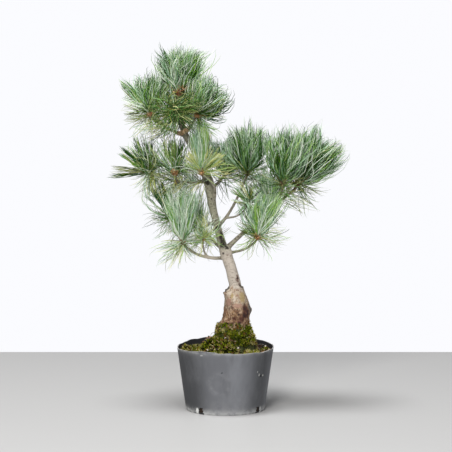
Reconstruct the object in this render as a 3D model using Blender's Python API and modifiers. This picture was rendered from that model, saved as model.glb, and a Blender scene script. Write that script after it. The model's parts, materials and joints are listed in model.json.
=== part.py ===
"""Japanese white pine pre-bonsai, grafted on a rough rootstock, in its cut-down nursery pot.

Metres, +Z up. The origin is the middle of the pot's flat underside, and -Y is the front.
"""

import math
import random
from collections import namedtuple

import bmesh
import bpy
import numpy as np
from mathutils import Matrix, Vector, noise

SEED = 23
GAP = 0.0003  # between pieces that touch
CUTTER_SWELL = 0.0004  # how much fatter than its limb a limb's cutter is

# The pot: a round nursery pot, its top cut off with scissors
POT_RIM_RADIUS = 0.0609
POT_BASE_RADIUS = 0.0500
POT_HEIGHT = 0.0785
POT_WALL = 0.0012
POT_FLOOR = 0.0016
POT_SLOPE = (POT_RIM_RADIUS - POT_BASE_RADIUS) / POT_HEIGHT
POT_SIDES = 40
RIM_BACK_RISE = 0.0055  # the cut runs higher at the back
SLOT_WIDTH = 0.0050
SLOT_HEIGHT = 0.0050
SLOT_COUNT = 4
SLOT_FIRST_ANGLE = math.radians(-37)

# Soil and moss
SOIL_TOP = 0.0690
MOSS_MOUND = (0.0045, -0.0040, 0.0400, 0.0410, 0.0320)  # x, y, half width, half depth, height
MOSS_CLUMPS = {
    "moss_left": (-0.0485, -0.0030, 0.0085, 0.0120, 0.0130),
    "moss_right": (0.0512, 0.0020, 0.0058, 0.0120, 0.0110),
}
MOSS_ROUGHNESS = 0.0022
MOSS_LUMPS = 110  # lumps to a metre
MOSS_SINK = 0.0012  # how far the ball's middle lies under the soil
MOUND_SUBDIVISIONS = 3
CLUMP_SUBDIVISIONS = 2

# The trunk as height, x, y and radius: the rootstock, then the scion grafted into its top
STOCK = (
    (0.0693, 0.0108, 0.0000, 0.0265),
    (0.0800, 0.0104, 0.0000, 0.0245),
    (0.0940, 0.0101, 0.0000, 0.0222),
    (0.1065, 0.0107, 0.0000, 0.0195),
    (0.1160, 0.0140, 0.0000, 0.0168),
    (0.1260, 0.0155, 0.0000, 0.0172),
    (0.1360, 0.0135, 0.0000, 0.0150),
    (0.1450, 0.0118, 0.0000, 0.0137),
    (0.1495, 0.0119, 0.0000, 0.0122),
    (0.1560, 0.0130, 0.0000, 0.0093),
)
SCION = (
    (0.1400, 0.0128, 0.0000, 0.0080),
    (0.1540, 0.0127, 0.0000, 0.0077),
    (0.1764, 0.0076, 0.0000, 0.0070),
    (0.1900, 0.0030, 0.0010, 0.0070),
    (0.1990, 0.0002, 0.0020, 0.0079),
    (0.2080, -0.0040, 0.0030, 0.0054),
    (0.2330, -0.0108, 0.0050, 0.0045),
    (0.2580, -0.0166, 0.0060, 0.0049),
    (0.2835, -0.0201, 0.0040, 0.0063),
    (0.2940, -0.0236, 0.0030, 0.0060),
    (0.3112, -0.0307, 0.0010, 0.0045),
    (0.3430, -0.0484, -0.0020, 0.0039),
    (0.3526, -0.0526, -0.0020, 0.0040),
    (0.3713, -0.0569, -0.0010, 0.0030),
    (0.3900, -0.0585, 0.0000, 0.0022),
)
STOCK_SIDES = 16
SCION_SIDES = 10
SCION_RINGS = 2  # from one station to the next
FLARE_LOBES = 5
FLARE_TURN = 0.6  # radians
FLARE_DEPTH = 0.14  # share of the radius, fading upwards
BURL_LOBES = 3
BURL_TWIST = 9  # radians from foot to top
BURL_DEPTH = 0.07  # share of the radius
CUTTER_DROP = 0.004  # how far the rootstock's cutter runs on below its foot

# Boughs: the parent, the height or the share of its length where the bough leaves it,
# the point that it bends towards, its tip, and its radius at the foot and at the tip
Bough = namedtuple("Bough", "name parent foot bend tip thick thin")
BOUGHS = (
    Bough("bough_low_left", "trunk", 0.1925,
          (-0.030, -0.0065, 0.1880), (-0.0515, -0.0175, 0.2085), 0.0023, 0.0014),
    Bough("bough_inner_left", "bough_low_left", 0.36,
          (-0.0275, -0.0060, 0.1950), (-0.0285, -0.0110, 0.2120), 0.0012, 0.0010),
    Bough("bough_low_right", "trunk", 0.1985,
          (0.0250, -0.0080, 0.1990), (0.0380, -0.0180, 0.2150), 0.0018, 0.0013),
    Bough("bough_right", "trunk", 0.2010,
          (0.0220, 0.0120, 0.2240), (0.0826, 0.0080, 0.2738), 0.0034, 0.0016),
    Bough("bough_right_up", "bough_right", 0.84,
          (0.0700, 0.0030, 0.2680), (0.0710, -0.0080, 0.2790), 0.0013, 0.0012),
    Bough("bough_right_back", "bough_right", 0.55,
          (0.0430, 0.0260, 0.2400), (0.0520, 0.0400, 0.2520), 0.0017, 0.0013),
    Bough("bough_mid_right", "trunk", 0.2310,
          (0.0070, 0.0230, 0.2430), (0.0262, 0.0100, 0.2930), 0.0022, 0.0013),
    Bough("bough_inner_right", "bough_mid_right", 0.30,
          (0.0170, 0.0050, 0.2410), (0.0257, -0.0040, 0.2554), 0.0012, 0.0010),
    Bough("bough_left", "trunk", 0.2365,
          (-0.0450, 0.0230, 0.2270), (-0.0690, 0.0160, 0.2380), 0.0022, 0.0013),
    Bough("bough_low_back", "trunk", 0.2030,
          (-0.0100, 0.0200, 0.2030), (-0.0240, 0.0360, 0.2200), 0.0025, 0.0015),
    Bough("bough_mid_left", "trunk", 0.2900,
          (-0.0560, 0.0130, 0.2790), (-0.0900, 0.0080, 0.2985), 0.0024, 0.0014),
    Bough("bough_mid_left_up", "bough_mid_left", 0.55,
          (-0.0600, 0.0020, 0.2850), (-0.0620, 0.0000, 0.2940), 0.0015, 0.0013),
    Bough("bough_centre", "trunk", 0.2590,
          (-0.0060, -0.0150, 0.2860), (-0.0280, -0.0140, 0.2960), 0.0022, 0.0015),
    Bough("bough_centre_back", "trunk", 0.2770,
          (-0.0110, 0.0160, 0.2830), (-0.0040, 0.0300, 0.2920), 0.0022, 0.0015),
    Bough("bough_top_left", "trunk", 0.3460,
          (-0.0720, -0.0040, 0.3520), (-0.0930, -0.0050, 0.3682), 0.0022, 0.0014),
    Bough("bough_top_right", "trunk", 0.3490,
          (-0.0440, -0.0060, 0.3550), (-0.0374, -0.0060, 0.3660), 0.0019, 0.0014),
    Bough("bough_top_front", "trunk", 0.3560,
          (-0.0590, -0.0140, 0.3610), (-0.0610, -0.0230, 0.3720), 0.0017, 0.0013),
    Bough("bough_top_back", "trunk", 0.3540,
          (-0.0520, 0.0160, 0.3600), (-0.0500, 0.0270, 0.3720), 0.0018, 0.0013),
)
BOUGH_STEPS = 5
BOUGH_TAPER = 0.7  # under 1, a bough thins most near its foot

# Masses of needles: the limb whose tip they grow on, the heading (0 right, 90 back) and rise
# of the middle shoot in degrees, the stem's length, the number of side shoots and how far
# they lean out in degrees, then the length of a shoot and of a needle, and how many old
# sprays droop round the foot
Mass = namedtuple("Mass", "name limb heading rise stem shoots fan shoot needle skirt")
MASSES = (
    Mass("needles_apex_top", "trunk", 0, 82, 0.006, 4, 40, 0.019, 0.048, 2),
    Mass("needles_apex_left", "bough_top_left", 10, 80, 0.004, 3, 36, 0.014, 0.045, 3),
    Mass("needles_apex_right", "bough_top_right", 10, 70, 0.004, 3, 38, 0.014, 0.046, 3),
    Mass("needles_apex_front", "bough_top_front", 262, 38, 0.005, 3, 44, 0.014, 0.044, 3),
    Mass("needles_apex_back", "bough_top_back", 84, 44, 0.005, 3, 42, 0.015, 0.046, 2),
    Mass("needles_mid_left_out", "bough_mid_left", 190, 14, 0.004, 3, 46, 0.012, 0.044, 3),
    Mass("needles_mid_left_in", "bough_mid_left_up", 190, 76, 0.004, 3, 44, 0.014, 0.049, 3),
    Mass("needles_centre", "bough_centre", 280, 80, 0.004, 3, 26, 0.012, 0.050, 3),
    Mass("needles_centre_back", "bough_centre_back", 70, 52, 0.005, 3, 42, 0.016, 0.048, 2),
    Mass("needles_mid_right", "bough_mid_right", 10, 86, 0.005, 4, 38, 0.020, 0.051, 3),
    Mass("needles_right_up", "bough_right_up", 200, 89, 0.006, 3, 34, 0.033, 0.051, 2),
    Mass("needles_right_out", "bough_right", 8, 66, 0.012, 4, 40, 0.032, 0.052, 3),
    Mass("needles_right_back", "bough_right_back", 80, 56, 0.006, 3, 42, 0.016, 0.048, 3),
    Mass("needles_low_right", "bough_low_right", 330, 84, 0.004, 3, 34, 0.011, 0.046, 4),
    Mass("needles_inner_right", "bough_inner_right", 300, 50, 0.004, 1, 30, 0.010, 0.028, 2),
    Mass("needles_low_left", "bough_low_left", 225, 84, 0.004, 3, 32, 0.022, 0.047, 4),
    Mass("needles_left", "bough_left", 45, 72, 0.004, 3, 34, 0.012, 0.043, 3),
    Mass("needles_inner_left", "bough_inner_left", 320, 76, 0.004, 1, 30, 0.008, 0.030, 2),
    Mass("needles_low_back", "bough_low_back", 150, 36, 0.006, 3, 44, 0.016, 0.046, 3),
)
SHOOT_RADIUS = 0.0017
SHOOT_TIP_RADIUS = 0.0012
SHOOT_SIDES = 5
SHOOT_TURN_SCATTER = 0.2  # share of the angle between side shoots
SHOOT_LEAN_SCATTER = (0.85, 1.15)
SIDE_SHOOT_LENGTH = (0.75, 0.95)  # share of the middle shoot's
SPRAYS_ON_LEADER = 5
SPRAYS_ON_SIDE_SHOOT = 3
SPRAYS_FROM_TO = (0.20, 0.95)  # the part of a shoot that bears sprays
SPRAY_LEAN = (math.radians(58), math.radians(9))  # from the shoot, at its foot and its tip
SPRAY_LEAN_POWER = 0.7
SPRAY_LEAN_SCATTER = math.radians(5)
SPRAY_LIFT = 0.22  # how much a spray turns up towards the light
SPRAY_LENGTH_SCATTER = (0.92, 1.04)
SKIRT_LEAN = (math.radians(88), math.radians(124))
SKIRT_LENGTH = (0.65, 0.84)  # share of a needle's length
# A spray of needles is a thin toothed blade with a tooth for every few needles
TEETH = (-1, 0, 1)
TOOTH_ANGLE = math.radians(11)
TOOTH_LENGTH = (0.90, 1.0, 0.94)
NOTCH_SHARE = 0.46  # how far up the blade the notches between the teeth reach
SPRAY_THICKNESS = 0.0010
SPRAY_ROOT_WIDTH = 0.0016
SHORTEST_SHARE = 0.62  # a tooth that its space would cut shorter than this is left out
SPACE_MARGIN = 0.0008
SPACE_SHARE = 0.6  # the weight of a needle's length in dividing the room
LIMB_MARGIN = 0.0016
GOLDEN_ANGLE = math.radians(137.508)

# Colours as linear red, green and blue
BARK_GREY = (0.31, 0.26, 0.20)
NEEDLE_GREEN = (0.10, 0.19, 0.11)
NEEDLE_YELLOW = (0.22, 0.27, 0.09)
MOSS_GREEN = (0.12, 0.17, 0.025)
SOIL_BROWN = (0.045, 0.032, 0.022)
POT_GREY = (0.115, 0.12, 0.13)
YELLOWER = {"needles_inner_right", "needles_inner_left", "needles_left"}


def clear_scene():
    for obj in list(bpy.data.objects):
        bpy.data.objects.remove(obj, do_unlink=True)


def new_collection(name, hidden=False):
    collection = bpy.data.collections.new(name)
    bpy.context.scene.collection.children.link(collection)
    collection.hide_render = hidden
    return collection


def finish(name, colour, roughness):
    """A plain Principled material, made once and then shared."""
    found = bpy.data.materials.get(name)
    if found:
        return found
    material = bpy.data.materials.new(name)
    material.use_nodes = True
    shader = material.node_tree.nodes["Principled BSDF"]
    shader.inputs["Base Color"].default_value = (*colour, 1)
    shader.inputs["Roughness"].default_value = roughness
    shader.inputs["Metallic"].default_value = 0
    return material


def object_from(bm, name, collection, material=None):
    """The bmesh as an object that is shaded smooth except at its sharper edges."""
    bmesh.ops.recalc_face_normals(bm, faces=bm.faces)
    mesh = bpy.data.meshes.new(name)
    bm.to_mesh(mesh)
    bm.free()
    mesh.shade_smooth()
    mesh.set_sharp_from_angle(angle=math.radians(40))
    obj = bpy.data.objects.new(name, mesh)
    collection.objects.link(obj)
    if material:
        mesh.materials.append(material)
    return obj


def as_guide(obj):
    obj.hide_render = True
    obj.display_type = "WIRE"
    return obj


def apply_modifiers(obj):
    """Puts the evaluated mesh in the object, and takes its modifiers off."""
    bpy.context.view_layer.update()
    graph = bpy.context.evaluated_depsgraph_get()
    mesh = bpy.data.meshes.new_from_object(obj.evaluated_get(graph))
    obj.modifiers.clear()
    obj.data = mesh


def tube(name, line, swell, collection):
    """A limb along a line of points with radii: a bevelled curve, made a closed mesh."""
    curve = bpy.data.curves.new(name, "CURVE")
    curve.dimensions = "3D"
    curve.bevel_depth = 1  # so that a point's radius is the tube's
    curve.bevel_resolution = 1
    curve.use_fill_caps = True
    spline = curve.splines.new("POLY")
    spline.points.add(len(line) - 1)
    for point, (place, radius) in zip(spline.points, line):
        point.co = (*place, 1)
        point.radius = radius + swell
    source = bpy.data.objects.new(name + "_curve", curve)
    collection.objects.link(source)
    bpy.context.view_layer.update()
    graph = bpy.context.evaluated_depsgraph_get()
    mesh = bpy.data.meshes.new_from_object(source.evaluated_get(graph))
    bpy.data.objects.remove(source)
    bm = bmesh.new()
    bm.from_mesh(mesh)
    bmesh.ops.remove_doubles(bm, verts=bm.verts, dist=1e-6)
    return object_from(bm, name, collection)


def loft(name, rings, collection):
    """A closed skin over rings that hold the same number of points."""
    bm = bmesh.new()
    rows = [[bm.verts.new(point) for point in ring] for ring in rings]
    count = len(rings[0])
    for low, high in zip(rows, rows[1:]):
        for i in range(count):
            j = (i + 1) % count
            bm.faces.new((low[i], low[j], high[j]))
            bm.faces.new((low[i], high[j], high[i]))
    bm.faces.new(rows[0][::-1])
    bm.faces.new(rows[-1])
    return object_from(bm, name, collection)


def scion_line():
    """The scion's centre line as points with their radii, smooth through its stations."""
    stations = [Vector(station) for station in SCION]
    line = []
    for i in range(len(stations) - 1):
        before, start, end = stations[max(i - 1, 0)], stations[i], stations[i + 1]
        after = stations[min(i + 2, len(stations) - 1)]
        for step in range(SCION_RINGS):
            t = step / SCION_RINGS
            z, x, y = (
                0.5 * (2 * b + (c - a) * t + (2 * a - 5 * b + 4 * c - d) * t**2
                       + (3 * b - a - 3 * c + d) * t**3)
                for a, b, c, d in zip(before[:3], start[:3], end[:3], after[:3])
            )
            line.append((Vector((x, y, z)), start[3] + (end[3] - start[3]) * t))
    z, x, y, radius = stations[-1]
    return [*line, (Vector((x, y, z)), radius)]


def stock_rings(swell):
    """The rootstock: root flare at the foot, burls above it. A swollen one runs on below."""
    foot, top = STOCK[0][0], STOCK[-1][0]
    rings = []
    for z, x, y, radius in STOCK:
        rise = (z - foot) / (top - foot)
        ring = []
        for i in range(STOCK_SIDES):
            turn = 2 * math.pi * i / STOCK_SIDES
            flare = (1 - rise) ** 2 * math.cos(FLARE_LOBES * turn + FLARE_TURN)
            burl = math.sin(BURL_LOBES * turn + BURL_TWIST * rise) * math.sin(math.pi * rise)
            r = radius * (1 + FLARE_DEPTH * flare + BURL_DEPTH * burl) + swell
            ring.append((x + r * math.cos(turn), y + r * math.sin(turn), z))
        rings.append(ring)
    if swell:
        rings.insert(0, [(x, y, z - CUTTER_DROP) for x, y, z in rings[0]])
    return rings


def scion_rings(swell):
    """The scion: round, square to its own leaning line."""
    line = scion_line()
    rings = []
    for i, (centre, radius) in enumerate(line):
        along = line[min(i + 1, len(line) - 1)][0] - line[max(i - 1, 0)][0]
        turn = Vector((0, 0, 1)).rotation_difference(along)
        r = radius + swell
        rings.append([
            centre + turn @ Vector((r * math.cos(a), r * math.sin(a), 0))
            for a in (2 * math.pi * k / SCION_SIDES for k in range(SCION_SIDES))
        ])
    return rings


def keep_main_body(obj):
    """Drops loose scraps and sealed hollows: only the shell with the largest volume stays."""
    bm = bmesh.new()
    bm.from_mesh(obj.data)
    left = set(bm.faces)
    shells = []
    while left:
        shell, front = set(), [left.pop()]
        while front:
            face = front.pop()
            shell.add(face)
            for edge in face.edges:
                for other in edge.link_faces:
                    if other in left:
                        left.discard(other)
                        front.append(other)
        shells.append(shell)

    def size(shell):
        total = 0.0
        for face in shell:
            first = face.verts[0].co
            for a, b in zip(face.verts[1:], face.verts[2:]):
                total += first.dot(a.co.cross(b.co))
        return total

    best = max(shells, key=size)
    loose = [face for shell in shells if shell is not best for face in shell]
    if loose:
        bmesh.ops.delete(bm, geom=loose, context="FACES")
        bmesh.ops.delete(bm, geom=[v for v in bm.verts if not v.link_faces], context="VERTS")
        bm.to_mesh(obj.data)
    bm.free()


def join_all(main, pieces):
    """One Boolean union of the main piece with the others, which are then removed."""
    group = bpy.data.collections.new(main.name + "_pieces")
    bpy.context.scene.collection.children.link(group)
    for piece in pieces:
        for owner in list(piece.users_collection):
            owner.objects.unlink(piece)
        group.objects.link(piece)
    union = main.modifiers.new("join", "BOOLEAN")
    union.operation = "UNION"
    union.operand_type = "COLLECTION"
    union.collection = group
    apply_modifiers(main)
    for piece in list(group.objects):
        bpy.data.objects.remove(piece)
    bpy.data.collections.remove(group)
    keep_main_body(main)


def cut_by(obj, cutter):
    cut = obj.modifiers.new("cut_" + cutter.name, "BOOLEAN")
    cut.operation = "DIFFERENCE"
    cut.object = cutter


def make_pot(parts, cutters):
    """A turned shell with a flat floor, a sloping cut rim and drain slots at the foot."""
    inner_base = POT_BASE_RADIUS - POT_WALL
    profile = [
        (0, POT_FLOOR),
        (inner_base, POT_FLOOR),
        (POT_RIM_RADIUS - POT_WALL, POT_HEIGHT),
        (POT_RIM_RADIUS, POT_HEIGHT),
        (POT_BASE_RADIUS, 0),
        (0, 0),
    ]
    mesh = bpy.data.meshes.new("pot")
    edges = [(i, i + 1) for i in range(len(profile) - 1)]
    mesh.from_pydata([(r, 0, z) for r, z in profile], edges, [])
    pot = bpy.data.objects.new("pot", mesh)
    parts.objects.link(pot)
    turned = pot.modifiers.new("turn", "SCREW")
    turned.steps = turned.render_steps = POT_SIDES
    turned.use_merge_vertices = True
    turned.merge_threshold = 1e-5
    apply_modifiers(pot)
    for vertex in pot.data.vertices:
        if vertex.co.z > POT_HEIGHT / 2:
            rise = RIM_BACK_RISE * ((1 + vertex.co.y / POT_RIM_RADIUS) / 2) ** 3
            outward = vertex.co.xy.normalized() * rise * POT_SLOPE
            vertex.co += Vector((outward.x, outward.y, rise))
    pot.data.materials.append(finish("pot_plastic", POT_GREY, 0.55))
    for i in range(SLOT_COUNT):
        angle = SLOT_FIRST_ANGLE + i * 2 * math.pi / SLOT_COUNT
        bm = bmesh.new()
        bmesh.ops.create_cube(bm, size=1, matrix=Matrix.Diagonal(
            (SLOT_WIDTH * 2, SLOT_WIDTH, SLOT_HEIGHT * 2, 1)))
        slot = as_guide(object_from(bm, f"slot_{i}", cutters))
        slot.location = (POT_BASE_RADIUS * math.cos(angle), POT_BASE_RADIUS * math.sin(angle), 0)
        slot.rotation_euler.z = angle
        cut_by(pot, slot)
    pot.data.shade_smooth()
    pot.data.set_sharp_from_angle(angle=math.radians(40))


def inner_radius(z):
    """The pot's inside radius at a height."""
    return POT_BASE_RADIUS - POT_WALL + POT_SLOPE * (z - POT_FLOOR)


def make_soil(parts):
    """The soil that fills the pot: a plug a little clear of its wall and floor."""
    low = POT_FLOOR + GAP
    bm = bmesh.new()
    bmesh.ops.create_cone(
        bm, cap_ends=True, segments=POT_SIDES,
        radius1=inner_radius(low) - 2 * GAP, radius2=inner_radius(SOIL_TOP) - 2 * GAP,
        depth=SOIL_TOP - low,
        matrix=Matrix.Translation((0, 0, (SOIL_TOP + low) / 2)))
    object_from(bm, "soil", parts, finish("soil", SOIL_BROWN, 0.95))


def make_moss(name, place, parts, subdivisions, cutter=None):
    """A lumpy cushion of moss: the upper part of a stretched ball, flat on the soil."""
    x, y, width, depth, height = place
    bm = bmesh.new()
    bmesh.ops.create_icosphere(bm, subdivisions=subdivisions, radius=1)
    foot = SOIL_TOP + GAP
    for vertex in bm.verts:
        point = Vector((vertex.co.x * width, vertex.co.y * depth, vertex.co.z * height))
        bump = noise.noise(point * MOSS_LUMPS) * MOSS_ROUGHNESS * max(vertex.co.z, 0)
        vertex.co = point + vertex.co * bump + Vector((x, y, foot - MOSS_SINK))
    bmesh.ops.bisect_plane(
        bm, geom=bm.verts[:] + bm.edges[:] + bm.faces[:],
        plane_co=(0, 0, foot), plane_no=(0, 0, 1), clear_inner=True)
    bmesh.ops.holes_fill(bm, edges=[edge for edge in bm.edges if edge.is_boundary])
    moss = object_from(bm, name, parts, finish("moss", MOSS_GREEN, 0.9))
    if cutter:
        cut_by(moss, cutter)


def make_trunk(parts, cutters):
    """The rootstock and the scion joined, and a swollen copy of each to cut what meets them."""
    trunk = loft("trunk", stock_rings(0), parts)
    scion = loft("scion", scion_rings(0), parts)
    trunk.data.materials.append(finish("bark", BARK_GREY, 0.85))
    join_all(trunk, [scion])
    stock_cutter = as_guide(loft("stock_cutter", stock_rings(CUTTER_SWELL), cutters))
    scion_cutter = as_guide(loft("scion_cutter", scion_rings(CUTTER_SWELL), cutters))
    return stock_cutter, scion_cutter


def bough_line(bough, start):
    """A bough's centre line as points with their radii: it bends towards a third point."""
    bend, tip = Vector(bough.bend), Vector(bough.tip)
    return [
        ((1 - t) ** 2 * start + 2 * t * (1 - t) * bend + t**2 * tip,
         bough.thick + (bough.thin - bough.thick) * t**BOUGH_TAPER)
        for t in (i / BOUGH_STEPS for i in range(BOUGH_STEPS + 1))
    ]


def point_at_height(line, height):
    for (low, _), (high, _) in zip(line, line[1:]):
        if low.z <= height <= high.z:
            return low.lerp(high, (height - low.z) / (high.z - low.z))
    raise ValueError("no point of the trunk is that high")


def point_along(line, share):
    place = share * (len(line) - 1)
    return line[int(place)][0].lerp(line[int(place) + 1][0], place % 1)


def make_boughs(parts, cutters, scion_cutter):
    """Each bough as a tapering limb, cut a little clear of what it grows on."""
    lines = {"trunk": scion_line()}
    cutter_of = {"trunk": scion_cutter}
    for bough in BOUGHS:
        parent = lines[bough.parent]
        if bough.parent == "trunk":
            start = point_at_height(parent, bough.foot)
        else:
            start = point_along(parent, bough.foot)
        line = bough_line(bough, start)
        lines[bough.name] = line
        limb = tube(bough.name, line, 0, parts)
        limb.data.materials.append(finish("bark", BARK_GREY, 0.85))
        cut_by(limb, cutter_of[bough.parent])
        apply_modifiers(limb)
        keep_main_body(limb)
        cutter = tube(bough.name + "_cutter", line, CUTTER_SWELL, cutters)
        cutter_of[bough.name] = as_guide(cutter)
    return lines


def direction(heading, rise):
    heading, rise = math.radians(heading), math.radians(rise)
    return Vector((
        math.cos(rise) * math.cos(heading), math.cos(rise) * math.sin(heading), math.sin(rise)))


def between(ends, share):
    return ends[0] + (ends[1] - ends[0]) * share


def leaning(axis, lean, turn):
    """The direction that leans from an axis by an angle, turned round it by another."""
    side = axis.orthogonal().normalized()
    side.rotate(Matrix.Rotation(turn, 3, axis))
    return (axis * math.cos(lean) + side * math.sin(lean)).normalized()


class Limbs:
    """Every stretch of trunk and bough, for the gap between it and a needle or shoot."""

    def __init__(self, lines):
        stretches = [
            (a, b, max(ra, rb))
            for line in lines.values()
            for (a, ra), (b, rb) in zip(line, line[1:])
        ]
        self.starts = np.array([a for a, _, _ in stretches])
        self.ends = np.array([b for _, b, _ in stretches])
        self.radii = np.array([r for _, _, r in stretches])

    def gap(self, start, end):
        """The least distance from the line start to end to the skin of a limb."""
        start, end = np.array(start), np.array(end)
        d1, d2, r = end - start, self.ends - self.starts, start - self.starts
        a, e, b = d1 @ d1, (d2 * d2).sum(1), d2 @ d1
        c, f = r @ d1, (d2 * r).sum(1)
        below = a * e - b * b
        s = np.clip(np.where(below > 1e-15, (b * f - c * e) / np.maximum(below, 1e-15), 0), 0, 1)
        t = np.clip((b * s + f) / e, 0, 1)
        s = np.clip((b * t - c) / a, 0, 1)
        near = start + s[:, None] * d1 - (self.starts + t[:, None] * d2)
        return float((np.sqrt((near * near).sum(1)) - self.radii).min())


class Space:
    """The room that a mass keeps to: its own side of a plane against each other mass."""

    def __init__(self, centre, reach, others):
        self.planes = []
        for other, other_reach in others:
            apart = (other - centre).length
            normal = (other - centre) / apart
            offset = (apart**2 + reach**2 - other_reach**2) / (2 * apart)
            self.planes.append((normal, normal.dot(centre) + offset))

    def room(self, start, way, length):
        """How far a tooth or a shoot may go from start along a direction, up to its length."""
        for normal, limit in self.planes:
            left = limit - SPACE_MARGIN - normal.dot(start)
            if left <= 0:
                return 0
            speed = normal.dot(way)
            if speed > 0:
                length = min(length, left / speed)
        return length


def cone(name, start, way, length, root, tip, sides, collection):
    bm = bmesh.new()
    turn = Vector((0, 0, 1)).rotation_difference(way).to_matrix().to_4x4()
    middle = Matrix.Translation(start + way * (length / 2))
    bmesh.ops.create_cone(
        bm, cap_ends=True, segments=sides, radius1=root, radius2=tip, depth=length,
        matrix=middle @ turn)
    return object_from(bm, name, collection)


def blade(name, start, ways, lengths, across, collection):
    """A thin plate with a pointed tooth along each direction, and a notch between teeth."""
    side = across * (SPRAY_ROOT_WIDTH / 2)
    outline = [start - side]
    for i, (way, length) in enumerate(zip(ways, lengths)):
        if i:
            notch = (way + ways[i - 1]).normalized() * NOTCH_SHARE
            outline.append(start + notch * min(length, lengths[i - 1]))
        outline.append(start + way * length)
    outline.append(start + side)
    bm = bmesh.new()
    flat = bm.faces.new([bm.verts.new(point) for point in outline])
    flat.normal_update()
    thick = flat.normal * SPRAY_THICKNESS
    raised = bmesh.ops.extrude_face_region(bm, geom=[flat], use_keep_orig=True)
    moved = [item for item in raised["geom"] if isinstance(item, bmesh.types.BMVert)]
    bmesh.ops.translate(bm, verts=bm.verts, vec=-thick / 2)
    bmesh.ops.translate(bm, verts=moved, vec=thick)
    return object_from(bm, name, collection)


def add_spray(pieces, start, way, roll, size, room, limbs, collection):
    """A spray of needles, less the teeth that its space or a limb leaves no room for."""
    across = leaning(way, math.pi / 2, roll)
    ways, lengths = [], []
    for tooth, share in zip(TEETH, TOOTH_LENGTH):
        turn = tooth * TOOTH_ANGLE
        tip = (way * math.cos(turn) + across * math.sin(turn)).normalized()
        length = size * share
        free = room.room(start, tip, length)
        if free < length * SHORTEST_SHARE or limbs.gap(start, start + tip * free) < LIMB_MARGIN:
            if tooth == 0:
                return
            if tooth > 0:
                break
            continue
        ways.append(tip)
        lengths.append(free)
    pieces.append(blade("spray", start, ways, lengths, across, collection))


def make_mass(mass, foot, along, room, limbs, parts):
    """One mass: a stem, shoots that fan out from its end, and sprays round each shoot."""
    rng = random.Random(f"{SEED} {mass.name}")
    tip, radius = foot
    axis = direction(mass.heading, mass.rise)
    start = tip + along * GAP
    bend = start + along * (mass.stem / 2)
    whorl = bend + axis * (mass.stem / 2)
    stem = tube(
        mass.name, [(start, radius), (bend, radius), (whorl, SHOOT_RADIUS)], 0, parts)
    pieces = []
    ways = [(axis, 1.0, SPRAYS_ON_LEADER)]
    for i in range(mass.shoots):
        scatter = rng.uniform(-SHOOT_TURN_SCATTER, SHOOT_TURN_SCATTER)
        turn = 2 * math.pi * (i + scatter) / mass.shoots
        lean = math.radians(mass.fan) * rng.uniform(*SHOOT_LEAN_SCATTER)
        share = rng.uniform(*SIDE_SHOOT_LENGTH)
        ways.append((leaning(axis, lean, turn), share, SPRAYS_ON_SIDE_SHOOT))
    for way, share, sprays in ways:
        length = mass.shoot * share
        spin = rng.uniform(0, 2 * math.pi)
        if room.room(whorl, way, length) < length:
            continue
        if limbs.gap(whorl + way * SHOOT_RADIUS, whorl + way * length) < SHOOT_RADIUS:
            continue
        pieces.append(cone(
            "shoot", whorl, way, length, SHOOT_RADIUS, SHOOT_TIP_RADIUS, SHOOT_SIDES, parts))
        for i in range(sprays):
            t = (i + 0.5) / sprays
            place = whorl + way * length * between(SPRAYS_FROM_TO, t)
            lean = between(SPRAY_LEAN, t**SPRAY_LEAN_POWER)
            lean += rng.uniform(-SPRAY_LEAN_SCATTER, SPRAY_LEAN_SCATTER)
            spray = leaning(way, lean, spin + i * GOLDEN_ANGLE)
            spray = (spray + Vector((0, 0, SPRAY_LIFT))).normalized()
            size = mass.needle * rng.uniform(*SPRAY_LENGTH_SCATTER)
            add_spray(
                pieces, place, spray, rng.uniform(0, math.pi), size, room, limbs, parts)
    for i in range(mass.skirt):
        spray = leaning(axis, rng.uniform(*SKIRT_LEAN), i * GOLDEN_ANGLE)
        size = mass.needle * rng.uniform(*SKIRT_LENGTH)
        add_spray(pieces, whorl, spray, rng.uniform(0, math.pi), size, room, limbs, parts)
    join_all(stem, pieces)
    stem.data.materials.clear()
    if mass.name in YELLOWER:
        stem.data.materials.append(finish("needles_yellow", NEEDLE_YELLOW, 0.5))
    else:
        stem.data.materials.append(finish("needles_green", NEEDLE_GREEN, 0.5))


def make_masses(lines, parts):
    limbs = Limbs(lines)
    feet, cells = {}, {}
    for mass in MASSES:
        (before, _), (tip, radius) = lines[mass.limb][-2:]
        feet[mass.name] = ((tip, radius), (tip - before).normalized())
        heart = tip + direction(mass.heading, mass.rise) * (mass.stem + mass.shoot)
        cells[mass.name] = (heart, mass.needle * SPACE_SHARE)
    for mass in MASSES:
        others = [cell for name, cell in cells.items() if name != mass.name]
        foot, along = feet[mass.name]
        room = Space(*cells[mass.name], others)
        make_mass(mass, foot, along, room, limbs, parts)


def main():
    clear_scene()
    parts = new_collection("white_pine_pre_bonsai")
    cutters = new_collection("cutters", hidden=True)
    make_pot(parts, cutters)
    make_soil(parts)
    stock_cutter, scion_cutter = make_trunk(parts, cutters)
    make_moss("moss_mound", MOSS_MOUND, parts, MOUND_SUBDIVISIONS, stock_cutter)
    for name, place in MOSS_CLUMPS.items():
        make_moss(name, place, parts, CLUMP_SUBDIVISIONS)
    lines = make_boughs(parts, cutters, scion_cutter)
    make_masses(lines, parts)


main()
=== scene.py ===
# %% [markdown]
# # Japanese white pine pre-bonsai
# A young white pine, grafted on a rough rootstock, stands in a round nursery pot that was cut down
# by hand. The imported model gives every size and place. Each step below dresses a part of it.
# Metres, +Z up, and -Y is the front.

# %% load the frame
import json
import math
import random
from collections import namedtuple

import bpy
import numpy as np
from mathutils import Matrix, Vector, noise

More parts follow.
